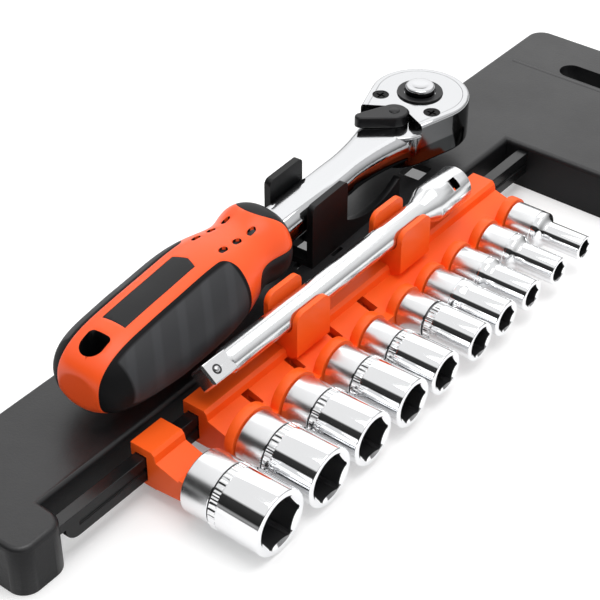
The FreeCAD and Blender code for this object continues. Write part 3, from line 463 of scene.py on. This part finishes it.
def blackened(name, effects, base):
    """Satin black over steel, bright where it has rubbed through."""
    rub_width, bare_steel, bare_metal = 0.4 * MM, (0.20, 0.20, 0.20, 1.0), 0.8
    roughness, smudge_rough, relief_strength, relief_depth = 0.33, 0.2, 0.1, 0.03 * MM
    finish = Finish(name)
    tree = finish.tree
    rubbed = finish.effect(effects["rub"], Width=rub_width, Amount=0.55)["Mask"]
    marks = finish.effect(effects["smudge"], Scale=1.4, Amount=0.4)
    finish.feed("Base Color", tree.mix(rubbed, rgba(base), bare_steel))
    finish.feed("Metallic", tree.product(rubbed, bare_metal))
    finish.roughen(marks["Mask"], smudge_rough, roughness)
    finish.relief(marks["Height"], relief_strength, relief_depth)
    finish.set(Specular_IOR_Level=0.3)
    return finish


def shade_upright_sides(finish, low, high):
    """Painted shade: less shine on upright faces than on faces that look up, so the sides read
    darker as if in shade.
    """
    tree = finish.tree
    shine = tree.span(tree.upward(), low=0.1, high=0.7, to_low=low, to_high=high)
    finish.feed("Specular IOR Level", shine)


def paint_shade_below(finish):
    """Painted shade on the underside and the lower sides of the ratchet's forging."""
    dark, side_low, side_high = (0.029, 0.031, 0.032, 1.0), 29.5 * MM, 34.5 * MM
    tree = finish.tree
    up = tree.upward()
    height = tree.parts(tree.place())["Z"]
    upright = tree.span(up, low=0.35, high=0.6, to_low=1.0, to_high=0.0)
    lower = tree.span(height, low=side_low, high=side_high, to_low=1.0, to_high=0.0)
    below = tree.span(up, low=-0.05, high=0.35, to_low=1.0, to_high=0.0)
    # painted shade: dark where faces look down, and on upright faces low on the head
    finish.paint(tree.math("MAXIMUM", tree.product(upright, lower), below), dark)


def paint_window_shade(finish):
    """Painted shade on the walls of the window and the bore in the extension's head."""
    dark = (0.03, 0.03, 0.032, 1.0)
    tree = finish.tree
    place = tree.parts(tree.place())
    across = tree.math("SUBTRACT", place["X"], BAR_AXIS[0])
    above = tree.math("SUBTRACT", place["Z"], BAR_AXIS[1])
    out = tree.math("SQRT", tree.math("ADD", tree.square(across), tree.square(above)))
    finish.paint(tree.product(tree.math("LESS_THAN", out, BORE_DEPTH),
                              tree.math("GREATER_THAN", place["Y"], BORE_LOW),
                              tree.math("LESS_THAN", place["Y"], BORE_HIGH)), dark)


def handle_place(tree):
    """Distances across the handle and towards the ratchet's head, from the hanging hole."""
    offset = tree.node("ShaderNodeVectorMath", {0: tree.place(), 1: HOLE_AXIS},
                       operation="SUBTRACT").outputs[0]
    cosine, sine = math.cos(HANDLE_TURN), math.sin(HANDLE_TURN)
    return tree.dot(offset, (cosine, sine, 0.0)), tree.dot(offset, (-sine, cosine, 0.0))


def paint_hole_shade(finish, dark):
    """Painted shade on the walls of the hanging hole, and the dents painted dark all over."""
    shade_reach, steep = 0.06 * MM, 0.3
    tree = finish.tree
    across, along = handle_place(tree)
    aside = tree.math("ABSOLUTE", across)
    inside = tree.math("LESS_THAN", aside, HOLE_HALF_WIDTH + shade_reach)
    near = tree.math("LESS_THAN", tree.math("ABSOLUTE", along), HOLE_HALF_LENGTH + shade_reach)
    wall = tree.math("LESS_THAN", tree.math("ABSOLUTE", tree.upward("True Normal")), steep)
    mask = tree.product(inside, near, wall)
    for dent_along, dent_aside in DENTS:
        side = tree.math("DIVIDE", tree.math("SUBTRACT", aside, dent_aside), DENT_HALF_WIDTH)
        row = tree.math("DIVIDE", tree.math("SUBTRACT", along, dent_along), DENT_HALF_LENGTH)
        out = tree.math("ADD", tree.square(side), tree.square(row))
        mask = tree.math("MAXIMUM", mask, tree.math("LESS_THAN", out, 1.0))
    finish.paint(mask, dark)


def border_pads(finish, rubber, dark):
    """Dark rim round the soft pads, painted shade over their lower part, and faint broad bands
    along them.
    """
    rim, front_rim, fade, low_fade = 1.0 * MM, 1.1 * MM, 0.7 * MM, 0.8 * MM
    bow_rate, bands_per_metre, band_gain = 6.0, 620.0, 1.35
    tree = finish.tree
    across, along = handle_place(tree)
    inner = PAD_INNER + rim
    front = PAD_FRONT - front_rim
    from_strip = tree.span(tree.math("ABSOLUTE", across), inner, inner + fade)
    from_front = tree.span(along, front - fade, front, to_low=1.0, to_high=0.0)
    from_rear = tree.span(along, PAD_REAR, PAD_REAR + low_fade)
    # painted shade below a line that bows up away from the pads' middle
    bow = tree.product(tree.square(tree.math("SUBTRACT", along, PAD_MIDDLE)), bow_rate)
    above = tree.math("SUBTRACT", tree.parts(tree.place())["Z"], bow)
    above_shade_line = tree.span(above, PAD_SHADE_LINE, PAD_SHADE_LINE + low_fade)
    soft = tree.product(from_strip, from_front, from_rear, above_shade_line)
    wave = tree.math("SINE", tree.product(tree.math("ADD", along, across), bands_per_metre))
    band = tree.span(wave, low=0.2, high=0.8)
    tone = tree.mix(band, rgba(rubber), rgba(rubber, band_gain))
    finish.feed("Base Color", tree.mix(soft, dark, tone))
    shine = tree.span(soft, low=0.0, high=1.0, to_low=0.12, to_high=0.35)
    finish.feed("Specular IOR Level", shine)


def make_materials(colours):
    """Every material of the rack by its short name."""
    effects = {"grain": moulded_grain(), "rub": edge_rub(), "smudge": fingerprints(),
               "dust": settled_dust(), "turned": turned_lines()}
    # black of the pads' rim and of the painted shade in the handle
    dark = rgba(colours.border)
    made = {
        "rack": moulded("Black rack moulding", effects, colours.rack, roughness=0.38, grain=0.5,
                        depth=0.10 * MM, rub=0.3, dust=0.01),
        # painted highlight: the fold's bead is coloured lighter than the rack
        "fold": moulded("Fold with painted highlight", effects, tuple(c * FOLD_HIGHLIGHT_GAIN for c in colours.rack),
                        roughness=0.38, grain=0.5, depth=0.01 * MM, rub=0.3, dust=0.01),
        "bracket": moulded("Deep black moulding", effects, colours.bracket, roughness=0.40,
                           grain=1.0, depth=0.04 * MM, rub=0.3, specular=0.22),
        "rail": moulded("Smooth black rail", effects, colours.rail, roughness=0.24, grain=2.0,
                        depth=0.01 * MM, rub=0.2, dust=0.01),
        "clips": moulded("Orange clip moulding", effects, colours.clips, roughness=0.38,
                         grain=1.6, depth=0.01 * MM, rub=0.05, specular=0.25),
        "handle": moulded("Orange handle", effects, colours.handle, roughness=0.36, grain=1.2,
                          depth=0.02 * MM, rub=0.05, specular=0.35),
        "rubber": moulded("Grip rubber", effects, colours.rubber, roughness=0.60, grain=0.8,
                          depth=0.06 * MM, rub=0.0),
        "plate": moulded("Bare black inlay", effects, colours.plate, roughness=0.45, grain=2.0,
                         depth=0.01 * MM, rub=0.1, specular=0.25),
        "screws": moulded("Black oxide", effects, colours.border, roughness=0.5, grain=2.0,
                          depth=0.01 * MM, rub=0.2, specular=0.15),
        "socket": plated("Socket chrome", effects, colours.chrome, roughness=0.06, smudge=0.3,
                         lines=0.2),
        "satin": plated("Satin socket chrome", effects, colours.chrome, roughness=0.24,
                        smudge=0.3, lines=0.8),
        # rough unpolished inside, its dark colour painted shade
        "inside": plated("Socket inside with painted shade", effects, colours.inside, roughness=0.38,
                         smudge=0.3),
        "head": plated("Ratchet chrome", effects, colours.head, roughness=0.09),
        "bar": plated("Bar chrome", effects, colours.bar, roughness=0.20),
        "steel": plated("Bright steel", effects, colours.steel, roughness=0.22, smudge=0.5),
        "black": blackened("Blackened steel", effects, colours.blackened),
    }
    # painted shade on the upright sides of the frame and the rail
    shade_upright_sides(made["rack"], low=0.15, high=0.5)
    shade_upright_sides(made["rail"], low=0.15, high=0.45)
    # painted shade in the hanging hole, and the dents painted dark
    paint_hole_shade(made["handle"], dark)
    # rim and bands of the pads, and painted shade over their lower part
    border_pads(made["rubber"], colours.rubber, dark)
    # painted shade under and low on the ratchet's head
    paint_shade_below(made["head"])
    # painted shade in the extension's window and bore
    paint_window_shade(made["bar"])
    return {name: finish.material for name, finish in made.items()}


MATERIALS = {}


def materials():
    """Materials, made once for all the pieces."""
    if not MATERIALS:
        MATERIALS.update(make_materials(bpy.context.scene.rack_colours))
    return MATERIALS


# ---- meshes ----
def closed_mesh(name, shape, smooth=True):
    """Mesh of a closed shape, whose faces look outward."""
    bmesh.ops.recalc_face_normals(shape, faces=shape.faces)
    mesh = bpy.data.meshes.new(name)
    shape.to_mesh(mesh)
    shape.free()
    for polygon in mesh.polygons:
        polygon.use_smooth = smooth
    return mesh


def wrap(shape, rows):
    """Faces between rows of vertices, where both the rows and each row close on themselves."""
    for k, row in enumerate(rows):
        following = rows[(k + 1) % len(rows)]
        for i in range(len(row)):
            j = (i + 1) % len(row)
            shape.faces.new((row[i], row[j], following[j], following[i]))


def ring_mesh(name, rings, centre, count):
    """Closed tube about a line along X.

    Each ring is its place along X and its radius, each a list of steps or one for all steps.
    """
    shape = bmesh.new()
    rows = []
    for x, radii in rings:
        row = []
        for i in range(count):
            angle = 2.0 * math.pi * i / count
            radius = radii[i] if isinstance(radii, list) else radii
            along = x[i] if isinstance(x, list) else x
            row.append(shape.verts.new((along, centre[0] + radius * math.cos(angle),
                                        centre[1] + radius * math.sin(angle))))
        rows.append(row)
    wrap(shape, rows)
    mesh = closed_mesh(name, shape)
    mesh.set_sharp_from_angle(angle=math.radians(28.0))
    return mesh


def hexagon_radii(count, flats, corner_room):
    """Radius at each step of a hexagon whose corners are relieved."""
    relief_turn, relief_share = 24.0, 0.035
    corner = flats / 2.0 / math.cos(math.radians(30.0))
    radii = []
    for i in range(count):
        turn = (360.0 * i / count) % 60.0 - 30.0
        radius = flats / 2.0 / math.cos(math.radians(turn))
        if abs(turn) > relief_turn:
            radius = max(radius, corner * (1.0 - relief_share + relief_share * corner_room))
        radii.append(radius)
    return radii


def square_radii(count, flats, corner_share):
    """Radius at each step of a square with rounded corners."""
    limit = flats / 2.0 * math.sqrt(2.0) * corner_share
    radii = []
    for i in range(count):
        turn = (360.0 * i / count + 45.0) % 90.0 - 45.0
        radii.append(min(flats / 2.0 / math.cos(math.radians(turn)), limit))
    return radii


def knurled(count, radius, depth):
    """Radius at each step of a straight knurl."""
    return [radius - depth * (i % 4 < 2) for i in range(count)]


def quarter_round(steps=4):
    """Shares of a rounded edge: sine and cosine of a quarter turn, step by step."""
    turns = [math.pi / 2.0 * i / steps for i in range(steps + 1)]
    return [(math.sin(turn), math.cos(turn)) for turn in turns]


def necked_outside(start, drive, mouth, steps=8):
    """Rings of a small socket: shallow groove, then a smooth neck down to its mouth."""
    rings = [(start + along * MM, drive - under * MM) for along, under in NARROW_GROOVE]
    for i in range(steps + 1):
        share = i / steps
        rings.append((start + (NECK_START + NECK_LENGTH * share) * MM,
                      mouth + (drive - mouth) * (0.5 + 0.5 * math.cos(math.pi * share))))
    rings.append((start + NECK_END * MM, mouth))
    return rings


def knurled_outside(start, drive, mouth, sizes):
    """Rings of a large socket: deep groove, then a band of straight ticks."""
    band = start + sizes.knurl_start
    after = band + sizes.knurl_width
    ticks = knurled(sizes.facets, mouth - KNURL_DROP * MM, sizes.knurl_depth)
    rings = [(start + along * MM, drive - under * MM) for along, under in WIDE_GROOVE]
    rings += [(start + GROOVE_END[0] * MM, mouth - GROOVE_END[1] * MM), (band, ticks),
              (after, ticks)]
    return rings + [(after + along * MM, mouth - under * MM) for along, under in AFTER_KNURL]


def hollow(start, end, flats, hexagon, lead, count):
    """Rings of a socket's inside: scalloped mouth, hexagon, bore and square recess."""
    cone_slope, cone_drop, floor_step, corner_share = 0.55, 0.05 * MM, 0.1 * MM, 0.94
    bore = min(flats, BORE_WIDEST * MM) / 2.0 - BORE_STEP * MM
    recess = square_radii(count, RECESS_WIDTH * MM, corner_share)
    lead_depth, lead_width = RECESS_LEAD
    return [
        (end, lead),
        ([end - (lead - r) * cone_slope - cone_drop for r in hexagon], hexagon),
        (end - HEXAGON_DEPTH * MM, hexagon),
        (end - HEXAGON_DEPTH * MM - cone_drop, [r - floor_step for r in hexagon]),
        (end - BORE_FLOOR * MM, bore),
        (start + BORE_START * MM, bore),
        (start + RECESS_DEPTH * MM, recess),
        (start + lead_depth * MM, recess),
        (start, [r + lead_width * MM for r in recess]),
    ]


def socket_mesh(node, sizes):
    """One socket: polished in slot 0, with its satin faces in their own slot, and its inside faces
    and wide groove in a dark slot whose colour is painted shade.
    """
    soft = SOFT_EDGE * MM
    low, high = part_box(node)
    start, end = low.x, high.x
    size = float(node[len("socket_"):-len("_mm")].replace("_", "."))
    centre = ((low.y + high.y) / 2.0, (low.z + high.z) / 2.0)
    widest = (high.y - low.y) / 2.0
    narrow = size in NARROW_MOUTHS
    if narrow:
        drive = widest
        mouth = NARROW_MOUTHS[size] * MM / 2.0
        outside = necked_outside(start, drive, mouth)
    else:
        drive = max(widest - DRIVE_STEP * MM, NARROWEST_DRIVE * MM)
        mouth = widest
        outside = knurled_outside(start, drive, mouth, sizes)
    flats = (size + HEXAGON_ROOM) * MM
    hexagon = [min(r, mouth - THINNEST_WALL * MM)
               for r in hexagon_radii(sizes.facets, flats, sizes.mouth_relief)]
    lead = max(hexagon) + HEXAGON_LEAD * MM
    rings = [(start + soft * (1.0 - c), drive - soft * (1.0 - s)) for s, c in quarter_round()]
    rings += outside
    rings += [(end - soft * (1.0 - s), mouth - soft * (1.0 - c)) for s, c in quarter_round()]
    rings += hollow(start, end, flats, hexagon, lead, sizes.facets)
    mesh = ring_mesh(node + "_dressed", rings, centre, sizes.facets)
    for polygon in mesh.polygons:
        along = polygon.center.x - start
        from_axis = math.hypot(polygon.center.y - centre[0], polygon.center.z - centre[1])
        wall = abs(polygon.normal.x) < WALL_LEAN
        if along < SATIN_END * MM and from_axis > SATIN_INNER * MM:
            polygon.material_index = SATIN_SLOT
        elif from_axis < lead and wall:
            polygon.material_index = SHADED_INSIDE_SLOT
        # the wide groove is painted dark too, as painted shade
        elif not narrow and GROOVE_START * MM < along < GROOVE_END[0] * MM:
            polygon.material_index = SHADED_INSIDE_SLOT
    return mesh


def fold_mesh(low, high, steps=10):
    """Low crowned bead along X between two corners."""
    shape = bmesh.new()
    ends = []
    for x in (low.x, high.x):
        row = []
        for i in range(steps + 1):
            turn = math.pi * i / steps
            y = low.y + (high.y - low.y) * (0.5 - 0.5 * math.cos(turn))
            z = low.z + (high.z - low.z) * math.sin(turn)
            row.append(shape.verts.new((x, y, z)))
        ends.append(row)
    for i in range(steps + 1):
        j = (i + 1) % (steps + 1)
        shape.faces.new((ends[0][i], ends[0][j], ends[1][j], ends[1][i]))
    for row in ends:
        shape.faces.new(row)
    return closed_mesh("header_fold", shape, smooth=False)


def ball_lip_mesh(centre, axis, radius, count=48):
    """Thin raised lip that holds the detent ball."""
    side = Vector((0.0, 1.0, 0.0))
    cross = axis.cross(side)
    # outward from the ball and up from the bar's face, in millimetres
    profile = [(0.02, -0.15), (0.02, 0.03), (0.12, 0.10), (0.30, 0.10), (0.45, 0.0), (0.45, -0.15)]
    shape = bmesh.new()
    rows = []
    for i in range(count):
        turn = 2.0 * math.pi * i / count
        out = side * math.cos(turn) + cross * math.sin(turn)
        rows.append([shape.verts.new(centre + out * (radius + r * MM) + axis * (h * MM))
                     for r, h in profile])
    wrap(shape, rows)
    return closed_mesh("ball_lip", shape)


def pivot_mesh(centre, radius, rise):
    """Low domed head of the lever's pivot."""
    flatten = Matrix.Diagonal((1.0, 1.0, rise / radius, 1.0))
    shape = bmesh.new()
    bmesh.ops.create_uvsphere(shape, u_segments=40, v_segments=20, radius=radius,
                              matrix=Matrix.Translation(centre) @ flatten)
    return closed_mesh("pivot", shape)


# ---- pieces ----
def cover(piece, material):
    """Give an object of the frame its material, without touching its mesh."""
    for slot in piece.material_slots:
        slot.link = "OBJECT"
        slot.material = material


def cad_piece(node, material, edge):
    """Carry a CAD part over with softened edges and its material."""
    piece = frame["nodes"][node]
    cover(piece, material)
    weld = piece.modifiers.new("Weld", "WELD")
    weld.merge_threshold = 0.002 * MM
    bevel = piece.modifiers.new("Soft edge", "BEVEL")
    bevel.width = edge
    bevel.segments = 2
    bevel.limit_method = "ANGLE"
    bevel.angle_limit = math.radians(35.0)
    bevel.harden_normals = True
    bevel.use_clamp_overlap = True
    bevel.miter_outer = "MITER_ARC"


def finished(mesh, name, material, body, nodes=()):
    """Object for a new mesh, joined to its body and the nodes that it stands for."""
    piece = bpy.data.objects.new(name, mesh)
    bpy.context.scene.collection.objects.link(piece)
    mesh.materials.append(material)
    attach(piece, body)
    if nodes:
        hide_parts(*nodes)
    return piece


# ---- operators ----
class RACK_OT_mouldings(Operator):
    """Finish the frame, its bracket and the rail"""
    bl_idname = "rack.mouldings"
    bl_label = "Frame, bracket and rail"

    def execute(self, context):
        edge = context.scene.rack_sizes.edge
        made = materials()
        cad_piece("rack_frame", made["rack"], edge)
        cad_piece("ratchet_bracket", made["bracket"], edge)
        cad_piece("socket_rail", made["rail"], edge)
        finished(fold_mesh(FOLD_LOW, FOLD_HIGH), "header_fold", made["fold"], "rack")
        return {"FINISHED"}


class RACK_OT_clips(Operator):
    """Finish the two sliding clips"""
    bl_idname = "rack.clips"
    bl_label = "Clips"

    def execute(self, context):
        for node in ("end_clip", "clip_strip"):
            cad_piece(node, materials()["clips"], context.scene.rack_sizes.edge)
        return {"FINISHED"}


class RACK_OT_sockets(Operator):
    """Turn the ten sockets"""
    bl_idname = "rack.sockets"
    bl_label = "Sockets"

    def execute(self, context):
        made = materials()
        for node in SOCKET_NODES:
            mesh = socket_mesh(node, context.scene.rack_sizes)
            finished(mesh, node + "_dressed", made["socket"], node[:-len("_mm")], [node])
            mesh.materials.append(made["satin"])
            mesh.materials.append(made["inside"])
        return {"FINISHED"}


class RACK_OT_extension(Operator):
    """Finish the extension bar with its detent ball"""
    bl_idname = "rack.extension"
    bl_label = "Extension bar"

    def execute(self, context):
        made = materials()
        cad_piece("extension_bar", made["bar"], context.scene.rack_sizes.metal_edge)
        cad_piece("extension_ball_spring", made["steel"], SPRING_EDGE)
        cover(frame["nodes"]["extension_ball"], made["steel"])
        low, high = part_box("extension_ball")
        out = Vector((math.sin(BAR_TURN), 0.0, math.cos(BAR_TURN)))
        axis = Vector((BAR_AXIS[0], (low.y + high.y) / 2.0, BAR_AXIS[1]))
        lip = ball_lip_mesh(axis + out * HALF_SQUARE, out, BALL_LIP_RADIUS)
        finished(lip, "extension_ball_lip", made["black"], "extension")
        return {"FINISHED"}


class RACK_OT_ratchet(Operator):
    """Finish the ratchet's head, works and lever"""
    bl_idname = "rack.ratchet"
    bl_label = "Ratchet head"

    def execute(self, context):
        made = materials()
        for node in ("ratchet_body", "cover_plate", "release_button"):
            cad_piece(node, made["head"], context.scene.rack_sizes.metal_edge)
        for node in ("drive_gear", "button_spring", "retaining_ring", "pawl"):
            cad_piece(node, made["steel"], WORKS_EDGE)
        for node in ("dust_ring", "reversing_lever"):
            cad_piece(node, made["black"], BLACK_EDGE)
        cad_piece("cover_screws", made["screws"], BLACK_EDGE)
        cover(frame["nodes"]["drive_ball"], made["steel"])
        pivot = next(joint["pos_m"] for joint in frame["joints"] if joint["name"] == "lever_turn")
        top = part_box("reversing_lever")[1].z
        dome = pivot_mesh(Vector((pivot[0], pivot[1], top - PIVOT_SINK)), PIVOT_RADIUS, PIVOT_RISE)
        finished(dome, "lever_pivot", made["black"], "lever")
        return {"FINISHED"}


class RACK_OT_handle(Operator):
    """Finish the handle, its grip pads, bare plate and collar"""
    bl_idname = "rack.handle"
    bl_label = "Handle"

    def execute(self, context):
        sizes = context.scene.rack_sizes
        made = materials()
        cad_piece("handle_core", made["handle"], sizes.edge)
        for node in ("grip_pad_right", "grip_pad_left"):
            cad_piece(node, made["rubber"], sizes.edge)
        for node in ("handle_plate", "handle_collar"):
            cad_piece(node, made["plate"], sizes.metal_edge)
        return {"FINISHED"}


# ---- stage ----
def floor_material(base):
    """Pale floor that shows nearly white to the camera and keeps its shadows."""
    speck_scale, speck_gain, glow = 300.0, 0.98, 0.26
    finish = Finish("Pale floor")
    tree = finish.tree
    speck = tree.noise(tree.place(), speck_scale, detail=4.0, roughness=0.6)
    finish.feed("Base Color", tree.mix(speck, rgba(base, speck_gain), rgba(base)))
    finish.set(Roughness=0.9, Specular_IOR_Level=0.1, Emission_Color=WHITE)
    path = tree.node("ShaderNodeLightPath").outputs
    seen = tree.math("MAXIMUM", path["Is Camera Ray"], path["Is Glossy Ray"])
    finish.feed("Emission Strength", tree.product(seen, glow))
    return finish.material


def area_lamp(name, watts, size, place, target):
    """Rectangular lamp at a place, turned to a target."""
    data = bpy.data.lights.new(name, "AREA")
    data.shape = "RECTANGLE"
    data.size, data.size_y = size
    data.energy = watts
    lamp = bpy.data.objects.new(name, data)
    lamp.location = place
    aim = Vector(target) - Vector(place)
    lamp.rotation_euler = aim.to_track_quat("-Z", "Y").to_euler()
    bpy.context.scene.collection.objects.link(lamp)


def sky_world(strength):
    """White sky, with a dark strip that gives the plating its dark line."""
    strip_low, strip_high = math.radians(129.0), math.radians(166.0)
    strip_fade, strip_depth = math.radians(6.0), 0.96
    gloss_low, gloss_high = 0.22, 0.95
    world = bpy.data.worlds.new("Studio")
    world.use_nodes = True
    world.node_tree.nodes.clear()
    tree = Tree(world.node_tree)
    way = tree.parts(tree.node("ShaderNodeTexCoord").outputs["Generated"])
    turn = tree.math("ARCTAN2", way["Z"], way["Y"])
    past_low = tree.span(turn, strip_low, strip_low + strip_fade)
    before_high = tree.span(turn, strip_high, strip_high + strip_fade, to_low=1.0, to_high=0.0)
    strip = tree.product(past_low, before_high, strip_depth)
    open_sky = tree.math("SUBTRACT", 1.0, strip)
    path = tree.node("ShaderNodeLightPath").outputs
    glossy = tree.span(way["Z"], low=0.03, high=0.60, to_low=gloss_low, to_high=gloss_high)
    level = tree.node("ShaderNodeMix", {0: path["Is Glossy Ray"], 2: strength,
                                        3: glossy}).outputs[0]
    light = tree.math("MAXIMUM", tree.product(open_sky, level), path["Is Camera Ray"])
    back = tree.node("ShaderNodeBackground", {"Color": WHITE, "Strength": light})
    tree.link(back.outputs[0], tree.node("ShaderNodeOutputWorld").inputs["Surface"])
    return world


class RACK_OT_stage(Operator):
    """Set up the floor, lamps, sky and camera"""
    bl_idname = "rack.stage"
    bl_label = "Stage"

    def execute(self, context):
        scene = context.scene
        settings = scene.rack_stage
        middle = (CAD_LOW + CAD_HIGH) / 2.0
        mesh = bpy.data.meshes.new("floor")
        corners = [(-1, -1), (1, -1), (1, 1), (-1, 1)]
        mesh.from_pydata([(middle.x + x * FLOOR_REACH, middle.y + y * FLOOR_REACH,
                           CAD_LOW.z - FLOOR_GAP) for x, y in corners], [], [(0, 1, 2, 3)])
        mesh.materials.append(floor_material(scene.rack_colours.floor))
        floor = bpy.data.objects.new("floor", mesh)
        scene.collection.objects.link(floor)
        area_lamp("far_softbox", settings.softbox, size=(0.95, 0.85), place=(-0.43, 0.48, 0.52),
                  target=(middle.x, -0.05, 0.02))
        area_lamp("overhead", settings.overhead, size=(0.6, 0.6), place=(0.1, -0.15, 0.9),
                  target=(middle.x, middle.y, 0.0))
        scene.world = sky_world(settings.sky)
        data = bpy.data.cameras.new("view")
        data.lens = settings.lens
        data.sensor_width = SENSOR_WIDTH
        camera = bpy.data.objects.new("view", data)
        camera.location = CAMERA_PLACE
        camera.rotation_euler = CAMERA_TURN
        scene.collection.objects.link(camera)
        scene.camera = camera
        scene.view_settings.view_transform = "Standard"
        return {"FINISHED"}


class RACK_PT_panel(Panel):
    """Steps that dress the rack, in order"""
    bl_label = "Socket Rack"
    bl_idname = "RACK_PT_panel"
    bl_space_type = "VIEW_3D"
    bl_region_type = "UI"
    bl_category = "Socket Rack"

    def draw(self, context):
        for step in STEPS:
            self.layout.operator(step.bl_idname)


STEPS = (RACK_OT_stage, RACK_OT_mouldings, RACK_OT_clips, RACK_OT_sockets, RACK_OT_extension,
         RACK_OT_ratchet, RACK_OT_handle)
CLASSES = (RackColours, RackSizes, StageSettings, RACK_PT_panel) + STEPS


def register():
    """Add the settings, steps and panel."""
    for item in CLASSES:
        bpy.utils.register_class(item)
    bpy.types.Scene.rack_colours = PointerProperty(type=RackColours)
    bpy.types.Scene.rack_sizes = PointerProperty(type=RackSizes)
    bpy.types.Scene.rack_stage = PointerProperty(type=StageSettings)


def unregister():
    """Take the settings, steps and panel away."""
    del bpy.types.Scene.rack_stage
    del bpy.types.Scene.rack_sizes
    del bpy.types.Scene.rack_colours
    for item in reversed(CLASSES):
        bpy.utils.unregister_class(item)


def main():
    """Dress the rack."""
    register()
    for step in STEPS:
        family, name = step.bl_idname.split(".")
        getattr(getattr(bpy.ops, family), name)()


if __name__ == "__main__":
    main()
